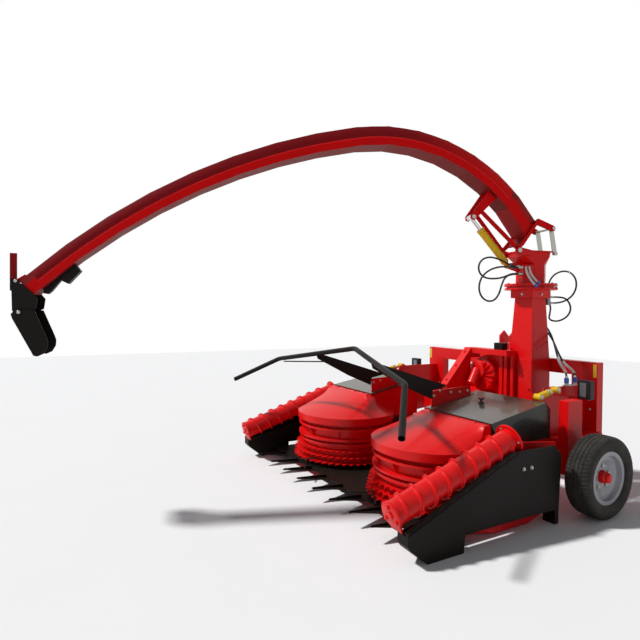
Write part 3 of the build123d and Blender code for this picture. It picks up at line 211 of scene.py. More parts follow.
def finishes():
    """Every finish of the machine, made once and kept by name."""
    if "enamel red" in bpy.data.materials:
        return bpy.data.materials
    colours = bpy.context.scene.harvester_colours
    red, black = tuple(colours.machine_red), tuple(colours.satin_black)
    # Red two-pack enamel on sheet steel: deep colour under a thin gloss, so the sun shows as small glints
    paint("enamel red", red, rough=0.38, coat=0.1)
    # Black enamel on folded plate: satin, so edges show as pale lines; on the flap its lever is a deep red
    satin = {"dust": 0.05, "peel": 0.5, "shine": 0.12}
    paint("enamel black", black, **satin)
    paint("flap enamel", black, **satin)
    second_colour("flap enamel", linear("#8E0C14"), "Z", LEVER_FOOT, LEVER_FOOT + 0.001)
    # Black enamel on the lids over the drives, with a painted sky reflection that makes the level top pale
    # olive
    paint("lid black", linear("#161410"), rough=0.25, coat=0.2, dust=0.06, high=9.0, shine=0.3)
    # Yellow enamel on turned barrels: smooth, with next to no orange peel
    paint("enamel yellow", tuple(colours.ram_yellow), rough=0.36, coat=0.1, peel=0.05, edge=0.0008,
          shine=0.25)
    # Silver lacquer on pressed rims, with a little metal flake in it
    paint("rim lacquer", tuple(colours.rim_grey), rough=0.4, coat=0.05, metal=0.2, shine=0.25)
    # The spout's enamel is the same red, with painted shade: darker on the faces that lean up, and dark brown
    # on those that look down
    paint("spout red", red, rough=0.5, high=0.3, under=0.8, shine=0.1)
    # The sheets on the spout's upper sides carry painted shade: a darker, duller red out along its run,
    # fading to the common red near the tower
    paint("painted shade red", linear("#880A12"), rough=0.5, shine=0.12)
    second_colour("painted shade red", red, "Y", *SHADE_FADE)
    # Zinc on pins and bolts is dull and pale, chrome on the rod is smooth, cast iron is dark and coarse
    bare_metal("zinc plated steel", "#A9A8A2", 0.36)
    bare_metal("hard chrome", "#D5D6D8", 0.12, stained=0.05)
    bare_metal("cast grey iron", "#7E8082", 0.5, grain=140.0)
    # Rubber is dull and dusty, moulded plastic finer and even, lenses are smooth under a clear skin
    soft_matter("tyre rubber", "#1D1B19", "#4E473C", 0.78, 220.0, 0.0012, share=0.5)
    soft_matter("hose rubber", "#131314", "#34322F", 0.45, 260.0, 0.0006, share=0.25, clear=0.15)
    soft_matter("moulded black plastic", "#151517", "#2E2D2B", 0.5, 300.0, 0.0004, share=0.2)
    soft_matter("blue plastic cap", "#1560C8", "#3A78C8", 0.35, 200.0, 0.0003, share=0.2, clear=0.3)
    soft_matter("white sleeve", "#D9D9D5", "#B9B7AF", 0.5, 200.0, 0.0004)
    soft_matter("amber lens", "#D86A10", "#B9550C", 0.15, 160.0, 0.0006, clear=0.8)
    soft_matter("red lens", "#7A0E0C", "#5D0A09", 0.15, 160.0, 0.0006, clear=0.8)
    soft_matter("clear lens", "#6E7376", "#4E5356", 0.12, 160.0, 0.0006, clear=0.9)
    soft_matter("yellow film", "#E8C820", "#CFB01C", 0.4, 120.0, 0.0002, share=0.2, clear=0.3)
    return bpy.data.materials


def grid_faces(rows, cols, closed_rows, closed_cols):
    """Quads over a grid of rows by cols points, wrapped where a direction is closed."""
    row, col = np.meshgrid(np.arange(rows if closed_rows else rows - 1),
                           np.arange(cols if closed_cols else cols - 1), indexing="ij")
    below, beside = (row + 1) % rows, (col + 1) % cols
    corners = (row * cols + col, row * cols + beside, below * cols + beside, below * cols + col)
    return np.stack(corners, axis=-1).reshape(-1, 4)


class Shape:
    """Points and faces of one piece, gathered before its mesh is made."""

    def __init__(self):
        self.points, self.faces, self.count = [], [], 0

    def add(self, points, faces):
        """Adds points (n, 3) and faces that count from this batch's first point."""
        points = np.asarray(points, dtype=float).reshape(-1, 3)
        self.points.append(points)
        self.faces += [tuple(int(k) + self.count for k in face) for face in faces]
        self.count += len(points)

    def grid(self, points, closed_rows=False, closed_cols=False, caps=False, flip=False):
        """Adds a grid of points; caps close its first and last row."""
        rows, cols = points.shape[:2]
        faces = grid_faces(rows, cols, closed_rows, closed_cols).tolist()
        if caps:
            faces.append(list(range(cols))[::-1])
            faces.append(list(range((rows - 1) * cols, rows * cols)))
        if flip:
            faces = [face[::-1] for face in faces]
        self.add(points, faces)

    def turned(self, centre, direction, profile, steps):
        """Surface of revolution: radius and height of a profile, carried round a line through centre."""
        line, side, other = basis(direction)
        angle = np.linspace(0, 2 * np.pi, steps, endpoint=False)
        ring = np.outer(np.cos(angle), side) + np.outer(np.sin(angle), other)
        profile = np.asarray(profile, dtype=float)
        points = (np.asarray(centre) + profile[:, 1, None, None] * line
                  + np.maximum(profile[:, 0, None, None], 1e-5) * ring[None])
        self.grid(points, closed_cols=True, caps=True)

    def prism(self, outline, origin, ux, uy, depth):
        """Plate: a flat outline on two directions, carried along their cross product by depth."""
        outline = np.asarray(outline, dtype=float)
        ux, uy = np.asarray(ux, float), np.asarray(uy, float)
        normal = np.cross(ux, uy)
        base = np.asarray(origin) + outline[:, :1] * ux + outline[:, 1:] * uy
        points = np.stack((base, base + normal * depth))
        self.grid(points, closed_cols=True, caps=True)

    def block(self, low, high):
        """Box between two corners."""
        low, high = np.asarray(low, float), np.asarray(high, float)
        outline = [(low[0], low[1]), (high[0], low[1]), (high[0], high[1]), (low[0], high[1])]
        self.prism(outline, (0, 0, low[2]), (1, 0, 0), (0, 1, 0), high[2] - low[2])

    def tube(self, path, radius, sides):
        """Round bar: a circle carried along a path of points, square to it."""
        path = np.asarray(path, dtype=float)
        along = np.gradient(path, axis=0)
        along /= np.linalg.norm(along, axis=1, keepdims=True)
        first = basis(along[0])[1]
        side = first - along * (along @ first)[:, None]
        side /= np.linalg.norm(side, axis=1, keepdims=True)
        other = np.cross(along, side)
        angle = np.linspace(0, 2 * np.pi, sides, endpoint=False)
        ring = np.cos(angle)[:, None] * side[:, None] + np.sin(angle)[:, None] * other[:, None]
        self.grid(path[:, None] + radius * ring, closed_cols=True, caps=True)

    def bolt(self, place, normal, size, washer=True):
        """Hexagon head with a chamfered top on a round washer, seated on a face."""
        line, side, other = basis(normal)
        place = np.asarray(place, float)
        # Radius and height of the washer and of the head, as shares of the width across the head's corners
        plate = np.array([(0.62, 0.0), (0.62, 0.1), (0.3, 0.12)])
        head = ((0.5, 0.08), (0.5, 0.42), (0.42, 0.5))
        if washer:
            self.turned(place, line, plate * size, 20)
        angle = np.arange(6) * np.pi / 3
        ring = np.outer(np.cos(angle), side) + np.outer(np.sin(angle), other)
        points = np.stack([place + line * size * h + ring * size * r for r, h in head])
        self.grid(points, closed_cols=True, caps=True)

    def finish(self, name, material, body="frame", bevel=0.0, smooth=None):
        """Makes the mesh, gives it its material, and lets it ride on a body."""
        mesh = bpy.data.meshes.new(name)
        mesh.from_pydata(np.concatenate(self.points).tolist(), [], self.faces)
        mesh.validate()
        made = bpy.data.objects.new(name, mesh)
        bpy.context.scene.collection.objects.link(made)
        mesh.materials.append(finishes()[material])
        if smooth is not None:
            mesh.shade_smooth()
            mesh.set_sharp_from_angle(angle=math.radians(smooth))
        if bevel:
            rounded = made.modifiers.new("edges", "BEVEL")
            rounded.width = bevel
            rounded.segments = 2
            rounded.limit_method = "ANGLE"
        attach(made, body)
        return made


def bolt_circle(count, radius, start):
    """Places round a circle: pairs of offsets from its centre."""
    turns = [start + 2 * math.pi * k / count for k in range(count)]
    return [(radius * math.cos(turn), radius * math.sin(turn)) for turn in turns]


def basis(direction):
    """Unit line and two unit directions square to it."""
    line = np.asarray(direction, dtype=float)
    line = line / np.linalg.norm(line)
    trial = np.array((1.0, 0.0, 0.0)) if abs(line[0]) < 0.9 else np.array((0.0, 1.0, 0.0))
    side = trial - line * (trial @ line)
    side = side / np.linalg.norm(side)
    return line, side, np.cross(line, side)


def spout_at(ahead, left, height):
    """Point beside the spout: forward of the slewing axis, to its left, and height, in millimetres."""
    return TURRET + (ahead * SPOUT_DIR + left * SPOUT_SIDE + height * UP) / 1000


class HARVESTER_OT_stage(bpy.types.Operator):
    """Pale floor, soft light and the camera that stands where the photograph was taken"""
    bl_idname = "harvester.stage"
    bl_label = "Stage"

    # Camera from the calibration of the photograph: metres, then turn, tilt and roll in degrees, then mm
    PLACE = (3.486, -2.063, 1.476)
    TURN_TILT_ROLL = (60.5, -0.99, 0.59)
    LENS, SENSOR = 28.05, 36.0
    # Half the floor's side, and its place just under the wheels
    FLOOR_REACH, FLOOR_Z = 14.0, -0.001
    # Columns: name, power, angle in degrees, where the light comes from
    LAMPS = (("key", 3.3, 5, (-0.42, -0.72, 1.0)),
             ("fill", 0.07, 60, (1.0, -0.5, 0.35)))

    def camera(self, scene):
        """Camera whose three directions come from its turn, its tilt and its roll."""
        yaw, pitch, roll = (math.radians(angle) for angle in self.TURN_TILT_ROLL)
        level = math.cos(pitch)
        forward = Vector((-math.sin(yaw) * level, math.cos(yaw) * level, math.sin(pitch)))
        right = Vector((math.cos(yaw), math.sin(yaw), 0))
        up = right.cross(forward)
        right_rolled = math.cos(roll) * right + math.sin(roll) * up
        up_rolled = -math.sin(roll) * right + math.cos(roll) * up
        lens = bpy.data.cameras.new("photo camera")
        lens.sensor_width = self.SENSOR
        lens.sensor_fit = "HORIZONTAL"
        lens.lens = self.LENS
        camera = bpy.data.objects.new("photo camera", lens)
        turn = Matrix((right_rolled, up_rolled, -forward)).transposed().to_4x4()
        camera.matrix_world = Matrix.Translation(self.PLACE) @ turn
        scene.collection.objects.link(camera)
        scene.camera = camera

    def floor(self, scene):
        """Flat square of pale floor paint with a faint cloud in its tone."""
        reach, z = self.FLOOR_REACH, self.FLOOR_Z
        square = Shape()
        square.grid(np.array([[(x, y, z) for y in (-reach, reach)] for x in (-reach, reach)]), flip=True)
        mesh = bpy.data.meshes.new("floor")
        mesh.from_pydata(square.points[0].tolist(), [], square.faces)
        plane = bpy.data.objects.new("floor", mesh)
        scene.collection.objects.link(plane)
        tree, skin, place = new_finish("studio floor")
        cloud = node(tree, "TexNoise", {"Scale": 1.5, "Detail": 3.0, "Vector": place})
        tone = node(tree, "MapRange", {"Value": cloud, "To Min": 0.97, "To Max": 1.0})
        colour = tuple(scene.harvester_colours.floor_grey)
        lit = node(tree, "VectorMath", {"operation": "SCALE", 0: colour, "Scale": tone})
        wire(skin, {"Base Color": lit, "Roughness": 0.85})
        mesh.materials.append(bpy.data.materials["studio floor"])

    def sky(self, scene):
        """Dim sky for the light, which the camera, reflections and clear things see as plain white."""
        world = bpy.data.worlds.new("studio")
        world.use_nodes = True
        tree = world.node_tree
        tree.nodes.clear()
        rays = node(tree, "LightPath", {}).node.outputs
        seen = rays["Is Camera Ray"]
        for kind in ("Is Transmission Ray", "Is Glossy Ray"):
            seen = node(tree, "Math", {"operation": "MAXIMUM", 0: seen, 1: rays[kind]})
        dim = node(tree, "Background", {"Color": (0.9, 0.93, 1.0, 1.0), "Strength": 0.17})
        white = node(tree, "Background", {"Color": (1.0, 1.0, 1.0, 1.0), "Strength": 1.0})
        node(tree, "OutputWorld", {"Surface": node(tree, "MixShader", {0: seen, 1: dim, 2: white})})
        scene.world = world

    def execute(self, context):
        scene = context.scene
        self.camera(scene)
        self.floor(scene)
        self.sky(scene)
        for name, power, spread, source in self.LAMPS:
            sun = bpy.data.lights.new(name, "SUN")
            sun.energy = power
            sun.angle = math.radians(spread)
            lamp = bpy.data.objects.new(name, sun)
            lamp.rotation_euler = Vector(source).to_track_quat("Z", "Y").to_euler()
            scene.collection.objects.link(lamp)
        scene.view_settings.view_transform = "Standard"
        return {"FINISHED"}


class HARVESTER_OT_node_finish(bpy.types.Operator):
    """Gives every solid of the frame its finish"""
    bl_idname = "harvester.node_finish"
    bl_label = "Finish of the solids"

    FINISH = {
        "enamel black": ("header_table", "side_panel_left", "side_panel_right", "crop_bow", "bow_arm_left",
                         "bow_arm_right", "flap_outer", "flap_drive", "valve_block"),
        "flap enamel": ("flap_inner",),
        "spout red": ("spout_boom",),
        "lid black": ("drive_cover_left", "drive_cover_right"),
        "enamel yellow": ("ram_barrel", "tilt_rams"),
        "rim lacquer": ("rim_left", "rim_right"),
        "tyre rubber": ("tyre_left", "tyre_right"),
        "hard chrome": ("ram_rod",),
        "zinc plated steel": ("spout_stays", "hitch_pins", "pto_stub", "coupling_rest"),
        "cast grey iron": ("flywheel", "slew_motor"),
        "moulded black plastic": ("pto_guard", "lamps"),
    }

    def execute(self, context):
        kinds = {name: finish for finish, names in self.FINISH.items() for name in names}
        for name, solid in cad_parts.items():
            material = finishes()[kinds.get(name, "hose rubber" if "hose" in name else "enamel red")]
            if not solid.data.materials:
                solid.data.materials.append(material)
            for place in solid.material_slots:
                place.material = material
        return {"FINISHED"}


class HARVESTER_OT_tyres(bpy.types.Operator):
    """Road tyres: a rounded section carried round the axle, cut by four grooves and slanted shoulder cuts"""
    bl_idname = "harvester.tyres"
    bl_label = "Tyres"

    # Radius and place across the wheel, from the bead to the crown, then the lining on the rim
    SECTION = np.array([(0.1925, -0.071), (0.204, -0.083), (0.222, -0.0885), (0.245, -0.0925),
                        (0.268, -0.091), (0.283, -0.085), (0.2925, -0.074), (0.2965, -0.060),
                        (TYRE_R, -0.030), (TYRE_R, 0.0)])
    LINING = ((0.1945, 0.060), (0.1945, -0.060))
    POINTS_ACROSS, STEPS_A_CUT, WIDEST = 92, 5, 0.0929
    # Grooves: places across, half width, sway and its phase; the tread and the shoulders begin at these radii
    GROOVES, GROOVE_HALF, GROOVE_SWAY, GROOVE_PHASE = (-0.045, -0.016, 0.016, 0.045), 0.0035, 0.002, 300
    TREAD_R, SHOULDER_R = 0.288, 0.270
    # Cuts stand where their wave is above a level; the inner ones are shallower and between two places
    CUT_LEVEL, CUT_SLANT, SHOULDER_X = 0.55, 60, 0.050
    INNER_SHARE, INNER_FROM, INNER_TO = 0.6, 0.020, 0.040
    # Raised bands on the side wall: radius and half width
    BANDS, BAND_RISE = ((0.214, 0.003), (0.262, 0.002)), 0.0015

    def execute(self, context):
        """Radius is the section's less the depth of grooves (narrow bands in x) and cuts (a slanted wave)."""
        sizes = context.scene.harvester_sizes
        half = self.SECTION
        section = np.concatenate((half, half[:-1][::-1] * (1, -1)))
        run = np.concatenate(([0], np.cumsum(np.linalg.norm(np.diff(section, axis=0), axis=1))))
        spots = np.linspace(0, run[-1], self.POINTS_ACROSS)
        radius = np.interp(spots, run, section[:, 0])
        across = np.interp(spots, run, section[:, 1])
        for _ in range(2):
            radius[1:-1] = (radius[:-2] + 2 * radius[1:-1] + radius[2:]) / 4
            across[1:-1] = (across[:-2] + 2 * across[1:-1] + across[2:]) / 4
        turn = np.linspace(0, 2 * np.pi, sizes.sipe_count * self.STEPS_A_CUT, endpoint=False)
        x, t = np.meshgrid(across, turn)
        r = np.broadcast_to(radius, x.shape).copy()
        tread = r > self.TREAD_R
        for line in self.GROOVES:
            sway = self.GROOVE_SWAY * np.sin(t * sizes.sipe_count / 2 + line * self.GROOVE_PHASE)
            r -= tread * sizes.tread_depth * np.exp(-((x - line - sway) / self.GROOVE_HALF) ** 4)
        away = np.abs(x)
        cut = np.cos(t * sizes.sipe_count + away * self.CUT_SLANT) > self.CUT_LEVEL
        outer = (away > self.SHOULDER_X) & (r > self.SHOULDER_R)
        inner = (away > self.INNER_FROM) & (away < self.INNER_TO) & tread
        r -= sizes.sipe_depth * cut * (outer + self.INNER_SHARE * inner)
        rise = sum(np.exp(-((r - place) / half_width) ** 2) for place, half_width in self.BANDS)
        room = self.WIDEST - np.minimum(away, self.WIDEST)
        x = x + np.sign(x) * np.minimum(self.BAND_RISE * rise * ~tread, room)
        # The lining's two rings close the section on its inner side
        for ring_r, ring_x in self.LINING:
            r = np.column_stack((r, np.full(len(turn), ring_r)))
            x = np.column_stack((x, np.full(len(turn), ring_x)))
            t = np.column_stack((t, turn))
        for side, s in SIDES:
            shape = Shape()
            shape.grid(np.stack((s * TYRE_X + x, AXLE_Y + r * np.cos(t), TYRE_R + r * np.sin(t)), axis=-1),
                       closed_rows=True, closed_cols=True, flip=True)
            tyre = shape.finish(f"tread_{side}", "tyre rubber", f"wheel_{side}", smooth=40)
            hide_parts(f"tyre_{side}")
        return {"FINISHED"}


class HARVESTER_OT_wheel_fittings(bpy.types.Operator):
    """Wheel nuts on the hub flange, grease cap and tyre valve"""
    bl_idname = "harvester.wheel_fittings"
    bl_label = "Wheel fittings"

    # Metres out from the middle of the tyre: the flange under the nuts, and the hub's end under the cap
    FLANGE_X, HUB_END_X = 0.0187, 0.0603
    NUT_COUNT, NUT_CIRCLE_R, NUT_SIZE = 5, 0.078, 0.024
    # Radius and height of the cap; ends and radius of the valve
    CAP = ((0.034, 0), (0.034, 0.012), (0.031, 0.017), (0.022, 0.021), (0.010, 0.023))
    VALVE, VALVE_R = ((0.02, 0.165), (0.05, 0.160)), 0.004

    def execute(self, context):
        for side, s in SIDES:
            body = f"wheel_{side}"
            nuts = Shape()
            for y, z in bolt_circle(self.NUT_COUNT, self.NUT_CIRCLE_R, 0.3):
                nuts.bolt((s * (TYRE_X + self.FLANGE_X), AXLE_Y + y, TYRE_R + z), (s, 0, 0), self.NUT_SIZE)
            nuts.finish(f"wheel_nuts_{side}", "zinc plated steel", body)
            cap = Shape()
            cap.turned((s * (TYRE_X + self.HUB_END_X), AXLE_Y, TYRE_R), (s, 0, 0), self.CAP, 40)
            cap.finish(f"grease_cap_{side}", "enamel red", body, smooth=50)
            valve = Shape()
            valve.tube([(s * (TYRE_X + x), AXLE_Y + y, TYRE_R) for x, y in self.VALVE], self.VALVE_R, 10)
            valve.finish(f"tyre_valve_{side}", "hose rubber", body, smooth=40)
        return {"FINISHED"}


class HARVESTER_OT_augers(bpy.types.Operator):
    """Side augers: round tube with an end flange, and a helical flight, a thin strip carried along a helix"""
    bl_idname = "harvester.augers"
    bl_label = "Augers"

    STUB, EDGE = 0.026, 0.003
    FLANGE_WALL, FLANGE_EDGE = 0.012, 0.002
    TURNS, STEPS_A_TURN, FLIGHT_START = 8, 60, 0.040
    # Weld fillet at the foot of the flight: how far it runs along the tube and up the flight
    WELD_RUN, WELD_RISE = 0.011, 0.007
    BOLT_COUNT, BOLT_CIRCLE_R, BOLT_SIZE = 3, 0.086, 0.014

    def tube_profile(self, length):
        """Radius and height of the tube with its shaft ends and its rear flange."""
        shaft, tube, flange = AUGER_SHAFT_R, AUGER_TUBE_R, AUGER_FLANGE_R
        stub, edge, rim = self.STUB, self.EDGE, self.FLANGE_EDGE
        foot = length - self.FLANGE_WALL
        return [(0.001, -stub), (shaft - edge, -stub), (shaft, edge - stub), (shaft, -0.001),
                (tube - edge, 0.0), (tube, edge), (tube, foot), (flange - rim, foot), (flange, foot + rim),
                (flange, length - rim), (flange - rim, length), (shaft, length),
                (shaft, length + stub - edge), (shaft - edge, length + stub), (0.001, length + stub)]

    def execute(self, context):
        """A point of the flight is the axis point at t * pitch plus a radius on a turning direction."""
        sizes = context.scene.harvester_sizes
        wall, rim = sizes.flight_wall / 2, AUGER_FLIGHT_R - 0.0005
        # Half the strip's profile: radius and offset along the axis, from the weld's foot to the rim
        half = np.array([(AUGER_TUBE_R - 0.002, wall + self.WELD_RUN),
                         (AUGER_TUBE_R + self.WELD_RISE, wall + 0.001),
                         (rim - 0.001, wall), (rim, wall - 0.001)])
        profile = np.concatenate((half * (1, -1), half[::-1]))
        t = np.linspace(0, self.TURNS, self.TURNS * self.STEPS_A_TURN + 1)
        for side, s in SIDES:
            start = AUGER_FRONT * (s, 1, 1)
            run = (AUGER_BACK - AUGER_FRONT) * (s, 1, 1)
            length = np.linalg.norm(run)
            line, across, up = basis(run)
            shape = Shape()
            shape.turned(start, line, self.tube_profile(length), 96)
            angle = -s * 2 * np.pi * t
            outward = np.cos(angle)[:, None] * (s * across) + np.sin(angle)[:, None] * up * s
            middle = start + line * (self.FLIGHT_START + t * sizes.flight_pitch)[:, None]
            points = middle[:, None] + outward[:, None] * profile[None, :, :1] + line * profile[None, :, 1:]
            shape.grid(points, closed_cols=True, caps=True, flip=s < 0)
            auger = shape.finish(f"auger_skin_{side}", "enamel red", f"auger_{side}", smooth=35)
            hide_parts(f"auger_{side}")
            ends = Shape()
            seat = start + line * (length - self.FLANGE_WALL - 0.0005)
            for a, b in bolt_circle(self.BOLT_COUNT, self.BOLT_CIRCLE_R, 0):
                ends.bolt(seat + across * a + up * b, -line, self.BOLT_SIZE)
            ends.finish(f"auger_bolts_{side}", "zinc plated steel", f"auger_{side}")
        return {"FINISHED"}


class HARVESTER_OT_hoses(bpy.types.Operator):
    """Hydraulic hoses between the ports, each a smooth line through the same route as its solid"""
    bl_idname = "harvester.hoses"
    bl_label = "Hoses"

    # Columns: solid, body, real length in metres, route in millimetres
    ROUTES = (
        ("turret_hose_high", "spout_turret", 0.948,
         ((178, -76, 1892), (250, -76, 1892), (352, -82, 1940), (470, -86, 1970), (560, -88, 1945),
          (598, -90, 1880), (578, -90, 1812), (512, -88, 1777), (400, -84, 1779), (318, -79, 1800),
          (250, -76, 1830), (178, -76, 1830))),
        ("turret_hose_low", "spout_turret", 1.140,
         ((178, -108, 1880), (262, -108, 1880), (375, -111, 1886), (485, -114, 1860), (570, -114, 1800),
          (604, -114, 1716), (590, -114, 1632), (528, -114, 1578), (450, -114, 1583), (400, -113, 1645),
          (378, -112, 1722), (345, -110, 1793), (268, -108, 1824), (178, -108, 1824))),
        ("motor_hose_high", "frame", 0.951,
         ((500, 2086, 1576), (500, 2140, 1576), (530, 2190, 1582), (582, 2218, 1606), (640, 2220, 1654),
          (678, 2208, 1724), (668, 2208, 1804), (606, 2216, 1864), (520, 2222, 1880), (436, 2220, 1850),
          (390, 2208, 1778), (398, 2200, 1712), (418, 2176, 1676), (440, 2136, 1664), (440, 2086, 1664))),
        ("motor_hose_low", "frame", 0.761,
         ((500, 2086, 1632), (500, 2136, 1632), (532, 2180, 1632), (584, 2190, 1620), (628, 2188, 1572),
          (640, 2188, 1508), (606, 2176, 1442), (536, 2140, 1402), (468, 2110, 1420), (446, 2158, 1484),
          (440, 2176, 1528), (440, 2162, 1572), (440, 2126, 1600), (440, 2086, 1600))),
        ("drop_hose_front", "frame", 0.813,
         ((480, 1990, 1505), (480, 1990, 1440), (500, 2004, 1378), (556, 2004, 1316), (624, 1958, 1250),
          (692, 1896, 1182), (758, 1836, 1108), (826, 1788, 1040), (880, 1758, 1010), (908, 1747, 970),
          (908, 1747, 928))),
        ("drop_hose_rear", "frame", 0.824,
         ((440, 1990, 1505), (440, 1990, 1440), (456, 2014, 1378), (510, 2040, 1306), (594, 2008, 1230),
          (664, 1950, 1176), (732, 1902, 1112), (800, 1876, 1046), (850, 1864, 1024), (890, 1859, 995),
          (908, 1858, 962), (908, 1858, 928))),
    )
    # A fitting in metres: radius and place along the hose of its ferrule, then its nut
    FERRULE = ((0.009, -0.002), (0.0112, 0.0), (0.0112, 0.030), (0.0098, 0.033))
    NUT_SIZE, NUT_BACK = 0.030, 0.013
    # The drop hoses run in a pale sleeve between these shares of their length
    SLEEVE_FROM, SLEEVE_TO, SLEEVE_WALL = 0.62, 0.9, 0.0035

    def execute(self, context):
        size = context.scene.harvester_sizes.hose_size
        for name, body, length, route in self.ROUTES:
            turned = [spout_at(*p) if body == "spout_turret" else np.array(p) / 1000 for p in route]
            line = bpy.data.curves.new(name + "_line", "CURVE")
            line.dimensions = "3D"
            line.resolution_u = 10
            spline = line.splines.new("NURBS")
            spline.points.add(len(turned) - 1)
            for point, place in zip(spline.points, turned):
                point.co = (*place, 1.0)
            spline.order_u = 3
            spline.use_endpoint_u = True
            hose = bpy.data.objects.new(name + "_skin", line)
            context.scene.collection.objects.link(hose)
            bare = bpy.data.meshes.new_from_object(hose)
            path = np.array([vertex.co for vertex in bare.vertices])
            bpy.data.meshes.remove(bare)
            line.bevel_depth = size / 2
            line.bevel_resolution = 4
            line.use_fill_caps = True
            line.materials.append(finishes()["hose rubber"])
            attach(hose, body)
            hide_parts(name)
            fittings = Shape()
            for end, inward in ((path[0], path[3] - path[0]), (path[-1], path[-4] - path[-1])):
                fittings.turned(end, inward, self.FERRULE, 20)
                fittings.bolt(end - basis(inward)[0] * self.NUT_BACK, inward, self.NUT_SIZE, washer=False)
            on_hose = [fittings.finish(f"{name}_ends", "zinc plated steel", body, smooth=35)]
            if name.startswith("drop"):
                sleeve = Shape()
                first, last = (int(len(path) * share) for share in (self.SLEEVE_FROM, self.SLEEVE_TO))
                sleeve.tube(path[first:last], size / 2 + self.SLEEVE_WALL, 16)
                on_hose.append(sleeve.finish(f"{name}_sleeve", "white sleeve", body, smooth=50))
        return {"FINISHED"}


class HARVESTER_OT_bolts(bpy.types.Operator):
    """Bolt heads on the plates and rings, and the grey heads of the pins"""
    bl_idname = "harvester.bolts"
    bl_label = "Bolts and pins"

    # Columns: name, body, ahead and height and half width in millimetres, radius of the head in metres
    PINS = (("hinge_pin_heads", "spout_turret", 217, 2030, 139, 0.020),
            ("ram_foot_pin_heads", "spout_turret", 238, 1902, 34, 0.017),
            ("ram_eye_pin_heads", "spout", 621, 2315, 52, 0.019),
            ("lug_pin_heads", "stays", -137.05, 2240, 125, 0.015),
            ("stay_end_heads", "stays", -180, 2018, 106, 0.017),
            ("flap_pin_heads", "deflector", 4168, 1664, 102, 0.011),
            ("flap_joint_heads", "deflector", 4145, 1449, 118, 0.012))
    # Bolts on an auger's nose: distance ahead of the tube, radius of their circle, turns in radians
    NOSE_AHEAD, NOSE_CIRCLE_R, NOSE_TURNS = 0.0225, 0.056, (0.5, 2.6, 4.7)
    # Circles of bolts in millimetres: height or middle, then count, radius and the first one's turn
    HEAD_TOP, HEAD_CIRCLE = 1704, (8, 217, math.pi / 8)
    RING_TOP, RING_CIRCLE = 1742.3, (12, 208, 0.1)
    GEARBOX, GEARBOX_CIRCLE = (90, 1721.5, 880), (14, 160, 0.2)
    CASING, CASING_CIRCLE, CASING_FROM = (170, 1730, 640), (20, 422, 0.1), 60
    # Bolts down the guard's slope: start and run in millimetres, shares of the run, way they face
    GUARD, GUARD_RUN = (-46, 1290, 800), (0, 310, 340)
    GUARD_SHARES, GUARD_OUT = (0.12, 0.5, 0.88), (0, -0.739, 0.674)
    # Single bolts in millimetres: right panel, tower, then legs and covers with x on both sides
    PANEL = ((1286, 750, 441), (1286, 828, 440))
    TOWER_FRONT, TOWER_SIDE = (470, 1735, 1650), (578, 1850, 1650)
    LEG_X, LEG_YZ = (850, 960), (1990, 673)
    COVER_X, COVER_YZ = (470, 620, 780, 940), (664, 691)
    # Rows of the channel's brackets: x, then pairs of y and z
    BRACKETS = ((429, ((735, 800), (800, 838))),
                (420.7, ((930, 815), (1030, 810), (1120, 815))),
                (-412.7, ((740, 800), (820, 815), (1030, 810), (1120, 815))))
    # Profile of a pin's head: share of its radius, height in metres
    PIN_HEAD = np.array([(1.0, -0.001), (1.0, 0.004), (0.9, 0.0055), (0.45, 0.0056), (0.42, 0.0045)])

    def groups(self):
        """Rows of name, finish, share of the common size, way the heads face, places in millimetres."""
        zinc, red = "zinc plated steel", "enamel red"
        forward, right, left, up = (0, -1, 0), (1, 0, 0), (-1, 0, 0), (0, 0, 1)
        turret_x, turret_y = TURRET[:2] * 1000
        gear_x, gear_y, gear_z = self.GEARBOX
        case_x, case_y, case_z = self.CASING
        nose_line, nose_side, nose_up = basis(AUGER_SLOPE)
        noses = [1000 * (AUGER_FRONT * (s, 1, 1) - nose_line * self.NOSE_AHEAD
                         + self.NOSE_CIRCLE_R * (math.cos(turn) * nose_side + math.sin(turn) * nose_up))
                 for s in (-1, 1) for turn in self.NOSE_TURNS]
        return (
            ("panel_bolts", zinc, 1.15, right, self.PANEL),
            ("panel_bolts_far", zinc, 1.15, left, [(-x, y, z) for x, y, z in self.PANEL]),
            ("head_bolts", red, 1.2, up,
             [(turret_x + x, turret_y + y, self.HEAD_TOP) for x, y in bolt_circle(*self.HEAD_CIRCLE)]),
            ("ring_bolts", red, 1.0, up,
             [(turret_x + x, turret_y + y, self.RING_TOP) for x, y in bolt_circle(*self.RING_CIRCLE)]),
            ("tower_bolts", zinc, 1.1, forward, [self.TOWER_FRONT]),
            ("tower_bolts_side", zinc, 1.1, right, [self.TOWER_SIDE]),
            ("gearbox_bolts", red, 0.75, forward,
             [(gear_x + x, gear_y, gear_z + z) for x, z in bolt_circle(*self.GEARBOX_CIRCLE)]),
            ("casing_bolts", red, 1.1, forward,
             [(case_x + x, case_y, case_z + z) for x, z in bolt_circle(*self.CASING_CIRCLE)
              if z > self.CASING_FROM]),
            ("guard_bolts", red, 1.1, self.GUARD_OUT,
             [np.add(self.GUARD, np.multiply(share, self.GUARD_RUN)) for share in self.GUARD_SHARES]),
            ("bracket_bolts", zinc, 0.9, right, [(x, y, z) for x, row in self.BRACKETS for y, z in row]),
            ("leg_bolts", zinc, 1.1, forward, [(s * x, *self.LEG_YZ) for s in (-1, 1) for x in self.LEG_X]),
            ("cover_bolts", red, 0.9, up, [(s * x, *self.COVER_YZ) for s in (-1, 1) for x in self.COVER_X]),
            ("auger_nose_bolts", red, 1.35, -nose_line, noses),
        )

    def execute(self, context):
        size = context.scene.harvester_sizes.bolt_size
        for name, finish, share, way, places in self.groups():
            shape = Shape()
            for place in places:
                shape.bolt(np.array(place) / 1000, way, size * share)
